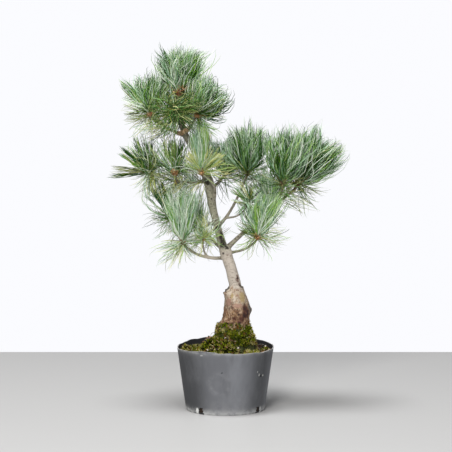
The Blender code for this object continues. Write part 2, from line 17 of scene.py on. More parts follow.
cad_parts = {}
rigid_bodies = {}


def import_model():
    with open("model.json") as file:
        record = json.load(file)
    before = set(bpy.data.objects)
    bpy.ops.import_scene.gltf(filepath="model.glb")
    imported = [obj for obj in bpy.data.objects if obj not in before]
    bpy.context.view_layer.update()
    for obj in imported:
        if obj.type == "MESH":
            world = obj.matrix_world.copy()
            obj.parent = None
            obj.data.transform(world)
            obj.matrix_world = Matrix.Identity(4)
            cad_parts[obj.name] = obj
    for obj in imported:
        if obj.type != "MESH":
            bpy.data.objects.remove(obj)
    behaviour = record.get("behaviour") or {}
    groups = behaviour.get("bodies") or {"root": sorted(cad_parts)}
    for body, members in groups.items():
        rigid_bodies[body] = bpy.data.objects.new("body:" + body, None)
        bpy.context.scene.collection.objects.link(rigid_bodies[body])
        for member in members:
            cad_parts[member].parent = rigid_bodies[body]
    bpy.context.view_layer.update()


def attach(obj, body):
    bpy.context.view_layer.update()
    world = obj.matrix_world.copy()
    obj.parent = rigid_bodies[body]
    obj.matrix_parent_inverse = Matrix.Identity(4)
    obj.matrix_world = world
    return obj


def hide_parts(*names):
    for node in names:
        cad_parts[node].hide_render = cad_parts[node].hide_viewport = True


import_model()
SEED = 23
noise.seed_set(SEED)  # vector noise would otherwise start from the clock


def smooth_step(low, high, value):
    t = np.clip((value - low) / (high - low), 0, 1)
    return t * t * (3 - 2 * t)


# %% [markdown]
# ## Camera, table and light
# The tree was looked at from about two metres, with a long lens, a little above its middle. It
# stands on a table whose far edge shows as a straight line behind the pot, in front of a white
# wall. The table is a slab and the wall is the world's own even light, so that it stays clear of
# the other views. Two large soft lamps stand in front, the stronger one to the left.

# %% camera, table and light
CAMERA_DISTANCE = 2.0
CAMERA_HEIGHT = 0.374
CAMERA_PITCH = math.radians(4.06)
SENSOR = 36.0
FOCAL_PIXELS = 1594
FRAME_PIXELS = 452
TABLE_HALF_DEPTH = 0.479
TABLE_HALF_LENGTH = 1.6
TABLE_THICK = 0.04
WALL_WHITE = (0.965, 0.97, 1.0)

camera_data = bpy.data.cameras.new("camera")
camera_data.sensor_width = SENSOR
camera_data.lens = FOCAL_PIXELS * SENSOR / FRAME_PIXELS
camera_data.shift_x = 0.5 / FRAME_PIXELS
camera_data.clip_end = 20
camera = bpy.data.objects.new("camera", camera_data)
camera.location = (0, -CAMERA_DISTANCE, CAMERA_HEIGHT)
camera.rotation_euler = (math.pi / 2 - CAMERA_PITCH, 0, 0)
bpy.context.scene.collection.objects.link(camera)
bpy.context.scene.camera = camera
bpy.context.scene.view_settings.view_transform = "Standard"


def plain_material(name, colour, roughness, **sockets):
    """A Principled material with its constants on its own sockets."""
    material = bpy.data.materials.new(name)
    material.use_nodes = True
    shader = material.node_tree.nodes["Principled BSDF"]
    shader.inputs["Base Color"].default_value = (*colour, 1)
    shader.inputs["Roughness"].default_value = roughness
    for socket, value in sockets.items():
        shader.inputs[socket.replace("_", " ")].default_value = value
    return material


def soft_lamp(name, place, target, size, watts, colour):
    data = bpy.data.lights.new(name, "AREA")
    data.shape = "DISK"
    data.size = size
    data.energy = watts
    data.color = colour
    lamp = bpy.data.objects.new(name, data)
    lamp.location = place
    lamp.rotation_euler = (Vector(target) - Vector(place)).to_track_quat("-Z", "Y").to_euler()
    bpy.context.scene.collection.objects.link(lamp)


middle = (0, 0, 0.22)
soft_lamp("key_lamp", (-0.5, -2.4, 1.7), middle, 0.9, 56, (1.0, 0.985, 0.96))
soft_lamp("fill_lamp", (0.9, -2.3, 0.7), middle, 1.2, 9, (0.96, 0.98, 1.0))
soft_lamp("top_lamp", (-0.25, -0.3, 2.6), middle, 0.9, 56, (0.98, 0.99, 1.0))


def feed(tree, socket, source):
    """Gives a socket a plain value, or links it to another node's output."""
    if isinstance(source, bpy.types.NodeSocket):
        tree.links.new(source, socket)
    else:
        socket.default_value = (*source, 1) if socket.type == "RGBA" else source


def add_node(tree, kind, sockets, **settings):
    """A shader node with its settings and what goes into its input sockets."""
    node = tree.nodes.new("ShaderNode" + kind)
    for name, value in settings.items():
        setattr(node, name, value)
    for socket, source in sockets.items():
        feed(tree, node.inputs[socket], source)
    return node


def make_world(seen, lighting):
    """An even white studio: what shows as the wall, and the dimmer light that it gives."""
    world = bpy.data.worlds.new("studio")
    world.use_nodes = True
    tree = world.node_tree
    path = add_node(tree, "LightPath", {})
    strength = add_node(tree, "MapRange", {
        "Value": path.outputs["Is Camera Ray"], "To Min": lighting, "To Max": seen})
    background = tree.nodes["Background"]
    feed(tree, background.inputs["Color"], WALL_WHITE)
    feed(tree, background.inputs["Strength"], strength.outputs["Result"])
    bpy.context.scene.world = world


make_world(1.0, 0.17)

table_mesh = bpy.data.meshes.new("table")
corners = [(sx * TABLE_HALF_LENGTH, sy * TABLE_HALF_DEPTH, z)
           for z in (-TABLE_THICK, 0) for sx, sy in ((-1, -1), (1, -1), (1, 1), (-1, 1))]
table_mesh.from_pydata(corners, [], [
    (3, 2, 1, 0), (4, 5, 6, 7), (0, 1, 5, 4), (1, 2, 6, 5), (2, 3, 7, 6), (3, 0, 4, 7)])
table = bpy.data.objects.new("table", table_mesh)
bpy.context.scene.collection.objects.link(table)
table_mesh.materials.append(plain_material("table", (0.56, 0.555, 0.55), 0.42))
print("camera", tuple(round(v, 3) for v in camera.location), "lens", round(camera_data.lens, 1))

# %% [markdown]
# ## Effects that several materials share
# Bark, pot, soil and moss all show two things: blotches of another colour laid over their own,
# and a fine relief. Each is one node group with named inputs, and each material sets its own
# colours and sizes. They read the place on the object, so nothing slides when the camera moves.

# %% shared effects


def new_group(name, inputs, outputs):
    """A node group to fill, with the sockets that it is given and those that it gives."""
    tree = bpy.data.node_groups.new(name, "ShaderNodeTree")
    for side, sockets in (("INPUT", inputs), ("OUTPUT", outputs)):
        for label, kind, value in sockets:
            socket = tree.interface.new_socket(
                label, in_out=side, socket_type="NodeSocket" + kind)
            if value is not None:
                socket.default_value = value
    given, out = tree.nodes.new("NodeGroupInput"), tree.nodes.new("NodeGroupOutput")
    return tree, given.outputs, out.inputs


def stretched_place(tree, given):
    """The place on the object, stretched as the group's input says."""
    place = add_node(tree, "TexCoord", {}).outputs["Object"]
    return add_node(tree, "VectorMath", {0: place, 1: given["Stretch"]},
                    operation="MULTIPLY").outputs["Vector"]


def math_node(tree, operation, first, second):
    return add_node(tree, "Math", {0: first, 1: second}, operation=operation).outputs["Value"]


def blotch_group():
    """Lays a second colour over the first in soft-edged blotches."""
    tree, given, out = new_group("blotches", [
        ("Color", "Color", (0.5, 0.5, 0.5, 1)),
        ("Blotch Color", "Color", (0.3, 0.3, 0.3, 1)),
        ("Scale", "Float", 100.0),
        ("Amount", "Float", 0.5),
        ("Softness", "Float", 0.12),
        ("Stretch", "Vector", (1.0, 1.0, 1.0)),
    ], [("Color", "Color", None)])
    cloud = add_node(tree, "TexNoise", {
        "Vector": stretched_place(tree, given), "Scale": given["Scale"], "Detail": 4,
        "Roughness": 0.62})
    low = math_node(tree, "SUBTRACT", 0.72, math_node(tree, "MULTIPLY", given["Amount"], 0.44))
    share = add_node(tree, "MapRange", {
        "Value": cloud.outputs["Fac"], "From Min": low,
        "From Max": math_node(tree, "ADD", low, given["Softness"])},
        interpolation_type="SMOOTHSTEP")
    mix = add_node(tree, "Mix", {
        0: share.outputs["Result"], 6: given["Color"], 7: given["Blotch Color"]},
        data_type="RGBA")
    tree.links.new(mix.outputs[2], out["Color"])
    return tree


def relief_group():
    """A height from two sizes of noise."""
    tree, given, out = new_group("fine_relief", [
        ("Scale", "Float", 500.0),
        ("Coarse Share", "Float", 0.5),
        ("Stretch", "Vector", (1.0, 1.0, 1.0)),
    ], [("Height", "Float", None)])
    place = stretched_place(tree, given)
    fine = add_node(tree, "TexNoise", {"Vector": place, "Scale": given["Scale"], "Detail": 3})
    coarse = add_node(tree, "TexNoise", {
        "Vector": place, "Scale": math_node(tree, "MULTIPLY", given["Scale"], 0.23), "Detail": 2})
    mix = add_node(tree, "Mix", {
        0: given["Coarse Share"], 2: fine.outputs["Fac"], 3: coarse.outputs["Fac"]})
    tree.links.new(mix.outputs[0], out["Height"])
    return tree


BLOTCHES = blotch_group()
RELIEF = relief_group()


def add_relief(material, scale, distance, coarse=0.5, stretch=(1, 1, 1)):
    """Gives a material a bump of a fine relief, its depth in metres."""
    tree = material.node_tree
    height = add_node(tree, "Group", {
        "Scale": scale, "Coarse Share": coarse, "Stretch": stretch}, node_tree=RELIEF)
    bump = add_node(tree, "Bump", {
        "Strength": 1.0, "Distance": distance, "Height": height.outputs["Height"]})
    feed(tree, tree.nodes["Principled BSDF"].inputs["Normal"], bump.outputs["Normal"])


def add_blotches(material, source, colour, scale, amount, softness=0.12, stretch=(1, 1, 1)):
    """Lays blotches over a colour, which is a socket or a plain one."""
    node = add_node(material.node_tree, "Group", {
        "Color": source, "Blotch Color": colour, "Scale": scale, "Amount": amount,
        "Softness": softness, "Stretch": stretch}, node_tree=BLOTCHES)
    return node.outputs["Color"]


def mix_colour(material, share, first, second):
    """Mixes two colours, sockets or plain ones, by what the mesh keeps under a name."""
    tree = material.node_tree
    given = add_node(tree, "Attribute", {}, attribute_name=share)
    mix = add_node(tree, "Mix", {0: given.outputs["Fac"], 6: first, 7: second}, data_type="RGBA")
    return mix.outputs[2]


def set_colour(material, source):
    """Feeds the material's own colour."""
    tree = material.node_tree
    feed(tree, tree.nodes["Principled BSDF"].inputs["Base Color"], source)


def material_kinds(kind, rows, scale, depth, stretch=(1, 1, 1), **sockets):
    """A material for each row of name, red, green, blue and roughness, all with one relief."""
    made = []
    for name, *colour, roughness in rows:
        made.append(plain_material(f"{kind}_{name}", colour, roughness, **sockets))
        add_relief(made[-1], scale, depth, stretch=stretch)
    return made


def keep_values(mesh, values):
    """Keeps a value of each point under a name, for the materials to read."""
    for name, value in values.items():
        kept = mesh.attributes.new(name, "FLOAT", "POINT")
        kept.data.foreach_set("value", value.astype(np.float32))


def joined(name, points, faces, materials, kinds=None, sharp=40):
    """A piece from points and faces, smooth but for its sharper edges."""
    mesh = bpy.data.meshes.new(name)
    mesh.from_pydata(np.asarray(points).tolist(), [], [list(face) for face in faces])
    for material in materials:
        mesh.materials.append(material)
    if kinds is not None:
        mesh.polygons.foreach_set("material_index", np.asarray(kinds, np.int32))
    mesh.shade_smooth()
    mesh.set_sharp_from_angle(angle=math.radians(sharp))
    piece = bpy.data.objects.new(name, mesh)
    bpy.context.scene.collection.objects.link(piece)
    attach(piece, "root")
    return piece


print("shared effects:", BLOTCHES.name, RELIEF.name)

# %% [markdown]
# ## Limbs
# Trunk, boughs and shoots follow the model's own lines. The trunk's line runs smoothly through
# its stations, each bough bends towards a third point, and the masses of needles grow on the
# boughs' tips. The same rule is written again here, so that bark and needles land where the
# solids are.

# %% the lines of the limbs
def metres(row):
    """A row of millimetres in metres."""
    return tuple(round(value / 1000, 6) for value in row)


STOCK = [metres(row) for row in (  # height, x, y, radius in millimetres
    (69.3, 10.8, 0, 26.5), (80, 10.4, 0, 24.5), (94, 10.1, 0, 22.2), (106.5, 10.7, 0, 19.5),
    (116, 14, 0, 16.8), (126, 15.5, 0, 17.2), (136, 13.5, 0, 15), (145, 11.8, 0, 13.7),
    (149.5, 11.9, 0, 12.2), (156, 13, 0, 9.3),
)]
SCION = [metres(row) for row in (
    (140, 12.8, 0, 8), (154, 12.7, 0, 7.7), (176.4, 7.6, 0, 7), (190, 3, 1, 7), (199, 0.2, 2, 7.9),
    (208, -4, 3, 5.4), (233, -10.8, 5, 4.5), (258, -16.6, 6, 4.9), (283.5, -20.1, 4, 6.3),
    (294, -23.6, 3, 6), (311.2, -30.7, 1, 4.5), (343, -48.4, -2, 3.9), (352.6, -52.6, -2, 4),
    (371.3, -56.9, -1, 3), (390, -58.5, 0, 2.2),
)]
SCION_RINGS = 2
FLARE_LOBES = 5
FLARE_TURN = 0.6
FLARE_DEPTH = 0.14
BURL_LOBES = 3
BURL_TWIST = 9
BURL_DEPTH = 0.07

Bough = namedtuple("Bough", "name parent foot bend tip thick thin")
BOUGHS = [  # foot as a height in metres or a share of its parent, the rest in millimetres
    Bough(name, parent, foot, metres(bend), metres(tip), *metres(radii))
    for name, parent, foot, bend, tip, *radii in (
        ("low_left", "trunk", 0.1925, (-30, -6.5, 188), (-51.5, -17.5, 208.5), 2.3, 1.4),
        ("inner_left", "low_left", 0.36, (-27.5, -6, 195), (-28.5, -11, 212), 1.2, 1),
        ("low_right", "trunk", 0.1985, (25, -8, 199), (38, -18, 215), 1.8, 1.3),
        ("right", "trunk", 0.201, (22, 12, 224), (82.6, 8, 273.8), 3.4, 1.6),
        ("right_up", "right", 0.84, (70, 3, 268), (71, -8, 279), 1.3, 1.2),
        ("right_back", "right", 0.55, (43, 26, 240), (52, 40, 252), 1.7, 1.3),
        ("mid_right", "trunk", 0.231, (7, 23, 243), (26.2, 10, 293), 2.2, 1.3),
        ("inner_right", "mid_right", 0.3, (17, 5, 241), (25.7, -4, 255.4), 1.2, 1),
        ("left", "trunk", 0.2365, (-45, 23, 227), (-69, 16, 238), 2.2, 1.3),
        ("low_back", "trunk", 0.203, (-10, 20, 203), (-24, 36, 220), 2.5, 1.5),
        ("mid_left", "trunk", 0.29, (-56, 13, 279), (-90, 8, 298.5), 2.4, 1.4),
        ("mid_left_up", "mid_left", 0.55, (-60, 2, 285), (-62, 0, 294), 1.5, 1.3),
        ("centre", "trunk", 0.259, (-6, -15, 286), (-28, -14, 296), 2.2, 1.5),
        ("centre_back", "trunk", 0.277, (-11, 16, 283), (-4, 30, 292), 2.2, 1.5),
        ("top_left", "trunk", 0.346, (-72, -4, 352), (-93, -5, 368.2), 2.2, 1.4),
        ("top_right", "trunk", 0.349, (-44, -6, 355), (-37.4, -6, 366), 1.9, 1.4),
        ("top_front", "trunk", 0.356, (-59, -14, 361), (-61, -23, 372), 1.7, 1.3),
        ("top_back", "trunk", 0.354, (-52, 16, 360), (-50, 27, 372), 1.8, 1.3),
    )]
BOUGH_STEPS = 5
BOUGH_TAPER = 0.7


def scion_line(rings):
    """The scion's centre line as points with their radii, smooth through its stations."""
    stations = [Vector(station) for station in SCION]
    line = []
    for i in range(len(stations) - 1):
        before, start, end = stations[max(i - 1, 0)], stations[i], stations[i + 1]
        after = stations[min(i + 2, len(stations) - 1)]
        for step in range(rings):
            t = step / rings
            z, x, y = (
                0.5 * (2 * b + (c - a) * t + (2 * a - 5 * b + 4 * c - d) * t**2
                       + (3 * b - a - 3 * c + d) * t**3)
                for a, b, c, d in zip(before[:3], start[:3], end[:3], after[:3])
            )
            line.append((Vector((x, y, z)), start[3] + (end[3] - start[3]) * t))
    z, x, y, radius = stations[-1]
    return [*line, (Vector((x, y, z)), radius)]


def bough_line(bough, start, steps):
    """A bough's centre line with its radii, bent towards its third point."""
    bend, tip = Vector(bough.bend), Vector(bough.tip)
    return [
        ((1 - t) ** 2 * start + 2 * t * (1 - t) * bend + t**2 * tip,
         bough.thick + (bough.thin - bough.thick) * t**BOUGH_TAPER)
        for t in (i / steps for i in range(steps + 1))
    ]


def point_at_height(line, height):
    for (low, _), (high, _) in zip(line, line[1:]):
        if low.z <= height <= high.z:
            return low.lerp(high, (height - low.z) / (high.z - low.z))
    raise ValueError("no point of the trunk is that high")


def point_along(line, share):
    place = share * (len(line) - 1)
    return line[int(place)][0].lerp(line[int(place) + 1][0], place % 1)


def limb_lines():
    lines = {"trunk": scion_line(SCION_RINGS)}
    for bough in BOUGHS:
        parent = lines[bough.parent]
        if bough.parent == "trunk":
            start = point_at_height(parent, bough.foot)
        else:
            start = point_along(parent, bough.foot)
        lines[bough.name] = bough_line(bough, start, BOUGH_STEPS)
    return lines


LINES = limb_lines()
print("limbs:", len(LINES))

# %% [markdown]
# ## Bark
# The rootstock is an older, coarser tree: lumpy, with reddish plates that stand off in cracks,
# paler and smoother towards the graft, where the old top was cut off and left a ledge. The scion
# has the young pine's thin bark, pale and finely wrinkled below and greyer above, with dark scars
# where side shoots were taken off. Limbs could be left as tubes with a bump, but then every
# joint is a crease and every edge is straight. So all limbs are laid over each other, remeshed
# into one skin, and the relief is pushed into that skin.

# %% one skin over trunk and boughs
SKIN_VOXEL = 0.00065
SKIN_SMOOTHING = (0.5, 3)  # share and rounds
SKIN_SWELL = 0.00012  # makes up for what the smoothing takes off
STOCK_SIDES = 56
SCION_SIDES = 32
LIMB_SIDES = 18
FINE_RINGS = 9  # rings between two stations of the scion
FINE_STEPS = 22  # rings along a bough
FOOT_FLARE = 0.55  # how much wider a bough is where it leaves its parent
FOOT_REACH = 0.0045
INSIDE_TRUNK = 0.004  # how much of a bough's foot its parent hides
INSIDE_BOUGH = 0.0012
STOCK_STEPS = 44
LEDGE = Vector((-0.0018, -0.002, 0.1472))  # the lip that is left of the cut


def turns(sides):
    """The angles of points all round."""
    return [2 * math.pi * i / sides for i in range(sides)]


def ring_round(centre, along, radius, sides):
    """A ring of points square to a direction."""
    turn = Vector((0, 0, 1)).rotation_difference(along)
    return [centre + turn @ Vector((radius * math.cos(a), radius * math.sin(a), 0))
            for a in turns(sides)]


def around(first, sides):
    """The numbers of each point of a ring and of the next one round it."""
    return [(first + i, first + (i + 1) % sides) for i in range(sides)]


def skin_of(rings):
    """Points and triangles of a closed skin over rings that hold the same number of points."""
    count = len(rings[0])
    points = [tuple(point) for ring in rings for point in ring]
    faces = []
    for row in range(len(rings) - 1):
        for a, b in around(row * count, count):
            faces += [(a, b, b + count), (a, b + count, a + count)]
    for ring, turned in ((0, True), (len(rings) - 1, False)):
        points.append(tuple(sum((Vector(p) for p in rings[ring]), Vector()) / count))
        hub = len(points) - 1
        faces += [(b, a, hub) if turned else (a, b, hub) for a, b in around(ring * count, count)]
    return np.array(points), np.array(faces)


def tube_skin(line, sides):
    rings = []
    for i, (centre, radius) in enumerate(line):
        along = line[min(i + 1, len(line) - 1)][0] - line[max(i - 1, 0)][0]
        rings.append(ring_round(centre, along, radius, sides))
    return skin_of(rings)


def stock_skin():
    """The rootstock as the solid has it, with finer rings and a deeper, uneven outline."""
    foot, top = STOCK[0][0], STOCK[-1][0]
    heights = [row[0] for row in STOCK]
    rings = []
    for step in range(STOCK_STEPS + 1):
        z = foot + (top - foot) * step / STOCK_STEPS
        x, y, radius = (np.interp(z, heights, [row[k] for row in STOCK]) for k in (1, 2, 3))
        rise = (z - foot) / (top - foot)
        ring = []
        for turn in turns(STOCK_SIDES):
            flare = (1 - rise) ** 2 * math.cos(FLARE_LOBES * turn + FLARE_TURN)
            burl = math.sin(BURL_LOBES * turn + BURL_TWIST * rise) * math.sin(math.pi * rise)
            r = radius * (1 + FLARE_DEPTH * flare + BURL_DEPTH * burl)
            ring.append((x + r * math.cos(turn), y + r * math.sin(turn), z))
        rings.append(ring)
    return skin_of(rings)


def merged(parts):
    """One pair of arrays from several pairs of points and faces."""
    points, faces, count = [], [], 0
    for part_points, part_faces in parts:
        points.append(part_points)
        faces.append(part_faces + count)
        count += len(part_points)
    return np.concatenate(points), np.concatenate(faces)


def applied(piece):
    """Puts the evaluated mesh in the piece and takes its modifiers off."""
    bpy.context.view_layer.update()
    graph = bpy.context.evaluated_depsgraph_get()
    mesh = bpy.data.meshes.new_from_object(piece.evaluated_get(graph))
    piece.modifiers.clear()
    piece.data = mesh
    return mesh


def wood_skin():
    parts = [stock_skin()]
    fine = [(p, r + SKIN_SWELL) for p, r in scion_line(FINE_RINGS)]
    parts.append(tube_skin(fine, SCION_SIDES))
    for bough in BOUGHS:
        line = bough_line(bough, LINES[bough.name][0][0], FINE_STEPS)
        start = line[0][0]
        hidden = INSIDE_TRUNK if bough.parent == "trunk" else INSIDE_BOUGH
        widened = []
        for point, radius in line:
            past = max((point - start).length - hidden, 0)
            flare = 1 + FOOT_FLARE * math.exp(-past / FOOT_REACH * 1.6)
            widened.append((point, radius * flare + SKIN_SWELL))
        parts.append(tube_skin(widened, LIMB_SIDES))
    points, faces = merged(parts)
    mesh = bpy.data.meshes.new("wood")
    mesh.from_pydata(points.tolist(), [], faces.tolist())
    wood = bpy.data.objects.new("wood", mesh)
    bpy.context.scene.collection.objects.link(wood)
    remesh = wood.modifiers.new("skin", "REMESH")
    remesh.mode = "VOXEL"
    remesh.voxel_size = SKIN_VOXEL
    evened = wood.modifiers.new("evened", "SMOOTH")
    evened.factor, evened.iterations = SKIN_SMOOTHING
    applied(wood)
    return wood


wood = wood_skin()
print("wood faces:", len(wood.data.polygons))

# %% [markdown]
# The relief needs to know what each point of the skin belongs to. It looks for the nearest
# stretch of rootstock, scion and bough, and the kinds fade into each other where they meet.
# Small broken flakes come from cells whose borders wander, the wrinkles from a noise squeezed
# along the height, and the scars are single dents. Some colours have a place: dark red where
# bark was rubbed off, laid thickest on the rootstock's right side, where it also paints that
# side's shade; a grey flake; a pale ridge; and very dark painted shade in the forks and in the
# graft's crease. All these are kept as attributes, so that cracks are dark exactly where they
# are deep: their own darker bark, with painted shade.

# %% the bark's relief
FLAKE_SIZE = (0.0027, 0.0027, 0.0034)
FLAKE_WANDER = 0.0026
CRACK_DEPTH = 0.00050
FLAKE_RISE = 0.00055
LUMP_DEPTH = 0.0015
GRIT_DEPTH = 0.00042
WRINKLE_DEPTH = 0.00017
LEDGE_RISE = 0.0024
LEDGE_TOP = (0.0016, -0.0030, 0.1512)
LEDGE_TOP_RISE = 0.0022
LEDGE_REACH = 0.0042
LEDGE_TOP_REACH = 0.0034
GRAFT_TOP = (0.1490, 0.1575)  # where the rootstock's skin gives way to the scion's
FRESH_FROM = (0.1255, 0.1400)  # where the rootstock's bark gets smoother
UPPER_FROM = (0.196, 0.212)  # where the scion's bark gets greyer
RELIEF_RINGS = 4  # rings between two stations of the scion, for the gaps to it
KNOB_RISE = 0.00028
THIN_LUMP = 0.00035
MOSS_LINE = 0.1075  # how high the moss climbs on the rootstock
MOSS_FADE = 0.0050
ZONE_WANDER = 0.0016
SCARS = (  # x, y, z, size and depth in millimetres
    (-4, -6, 197.5, 2.7, 1), (2.2, -6.8, 199.8, 1.3, 0.5), (-3.1, -2.5, 209.5, 1.7, 0.6),
    (15, -5.2, 166.7, 1.7, 0.4), (-17.4, 1, 266.2, 1.9, 0.6), (-12.5, 0.5, 240, 1.2, 0.4),
    (2, 8.2, 193, 2.2, 0.8), (15, 6.6, 164, 2, 0.6), (-26, 8.5, 298, 1.8, 0.6),
    (6, 6.2, 215, 1.4, 0.5),
)
ZONES = {  # where a colour gathers: x, y, z, half width and half height in millimetres
    # Dark red bark, laid thickest on the rootstock's right side, where it also paints that side's
    # shade.
    "dark_red": ((24.5, -12, 125.5, 6.2, 11), (5, -19, 111.6, 6.6, 3), (9.5, -15, 131, 2.6, 2),
        (17.5, -16, 111.8, 5, 3), (20, -15, 117, 5, 5), (12, -15, 116.5, 4, 2.4),
        (0, 12, 123, 8, 6), (20, 12, 115, 5, 5), (-8, -4, 126, 3, 4)),
    # The darkest of the dark red bark, on the right side, where it is also painted shade.
    "wine": ((25.2, -13.5, 132, 2.6, 5.6), (23.2, -14.5, 120.5, 3.4, 4), (27.5, -11, 123, 2.4, 7),
        (16.5, -16.5, 121.5, 2.4, 2.8), (4, -17.5, 111.6, 2.6, 1.5), (18, -18.5, 111.2, 2.6, 1.5)),
    "grey_flake": ((31.8, -3, 128, 5.2, 8.5), (-2, 13, 136, 6, 5), (25, 11, 127, 5, 4)),
    "pale_ridge": ((11.2, -14, 141.5, 1.6, 6.2), (5, -12, 148, 5, 3), (-15, -4, 282, 3, 14),
        (16, 11, 144, 4, 5)),
    "pink": ((3, -11, 137, 6, 5), (15, -13, 133, 7, 3.5), (2, 12, 142, 6, 6)),
    "olive": ((20.5, -9, 142, 5.2, 8.5), (8.5, -13, 145, 2.2, 5), (22, 8, 140, 6, 7)),
    # Painted shade, very dark, in the forks, under the boughs and in the graft's crease.
    "black": ((-4, -3, 147.2, 3.6, 2), (-1.2, -4, 150, 3.6, 2), (1.4, -4, 152.8, 3.4, 2.2),
        (3.6, -3, 155.2, 2.6, 2), (19.2, -5, 155, 2.6, 5), (-5.2, -2, 222, 3.6, 10),
        (-9.5, -2, 231, 4.2, 7), (-3, -2.5, 212, 5, 9), (1.5, -4, 205.5, 4, 3.5),
        (-6, -6, 190.5, 1.6, 2), (-22.5, -1, 287, 4, 4), (4, 6, 205, 5, 6)),
    "brown_rub": ((15, -6, 166.5, 2.4, 6), (17.2, -5, 158, 2, 4), (7, 7, 172, 3, 6),
        (2.6, -7, 196, 2, 1.8)),
    "pale_bough": ((-35, -8, 190, 27, 9),),
}


def stretch_gaps(points, starts, ends, radii_start, radii_end):
    """For each point, its least distance to the skin of a row of stretches."""
    best = np.full(len(points), 9.0)
    for a, b, ra, rb in zip(starts, ends, radii_start, radii_end):
        along = b - a
        t = np.clip((points - a) @ along / (along @ along), 0, 1)
        near = a + t[:, None] * along
        gap = np.linalg.norm(points - near, axis=1) - (ra + (rb - ra) * t)
        best = np.minimum(best, gap)
    return best


def line_arrays(line):
    points = np.array([p for p, _ in line])
    radii = np.array([r for _, r in line])
    return points[:-1], points[1:], radii[:-1], radii[1:]


def noise_at(points, scale, kind=noise.noise):
    """A noise, or a vector of noises, at each point."""
    return np.array([kind(Vector(p) * scale) for p in points])


def mesh_rows(mesh, what):
    """The places or the normals of a mesh's points, a row each."""
    values = np.empty(len(mesh.vertices) * 3)
    mesh.vertices.foreach_get(what, values)
    return values.reshape(-1, 3)


def zone_values(points, zones):
    """How much each point lies in one of some ragged-edged places."""
    most = np.zeros(len(points))
    for x, y, z, width, height in map(metres, zones):
        apart = np.linalg.norm((points - (x, y, z)) / (width, width, height), axis=1)
        most = np.maximum(most, smooth_step(1.15, 0.60, apart))
    return most


def stock_relief(points, rough):
    """Shift, darkness of the cracks and tint of points of the rootstock: lumps, broken flakes and
    grit. Darkness follows depth: the cracks' darker bark, with painted shade.
    """
    shift, crack, tint = (np.zeros(len(points)) for _ in range(3))
    for i, (place, share) in enumerate(zip(points, rough)):
        p = Vector(place)
        q = p + noise.noise_vector(p * 190) * FLAKE_WANDER
        near, cells = noise.voronoi(Vector(tuple(q[k] / FLAKE_SIZE[k] for k in range(3))))
        broken = min(max(0.5 + 1.6 * noise.noise(p * 260), 0), 1)
        depth = max(1 - (near[1] - near[0]) / 0.34, 0) * broken
        flake = noise.cell(cells[0] * 7.3)
        lump = noise.fractal(p * 95, 1.0, 2.0, 3)
        grit = noise.noise(p * 620) + 0.6 * noise.noise(p * 1300)
        shift[i] = LUMP_DEPTH * lump * (0.4 + 0.6 * share) + (0.25 + 0.75 * share) * (
            FLAKE_RISE * (flake - 0.4) * broken + GRIT_DEPTH * grit) \
            - share * CRACK_DEPTH * depth**2
        # Darker where deep in a crack or low in the grit: the cracks' own darker bark, with painted
        # shade in the hollows.
        crack[i] = min(depth**2 * share + max(-grit - 0.55, 0) * 1.5, 1)
        tint[i] = min(max(0.5 + 1.15 * grit + 0.9 * (flake - 0.5), 0), 1)
    return shift, crack, tint


def thin_bark_relief(points, young):
    """Shift of points of scion and boughs: fine cross wrinkles, and knobs on the young wood."""
    shift = np.zeros(len(points))
    for i, (place, share) in enumerate(zip(points, young)):
        p = Vector(place)
        squeezed = Vector((p.x * 140, p.y * 140, p.z * 900))
        wrinkle = noise.noise(squeezed) + 0.6 * noise.noise(p * 420)
        knob = max(noise.noise(p * 260), 0) * share
        shift[i] = WRINKLE_DEPTH * wrinkle * (1 - 0.4 * share) + KNOB_RISE * knob \
            + THIN_LUMP * noise.noise(p * 75) * (1 - share)
    return shift


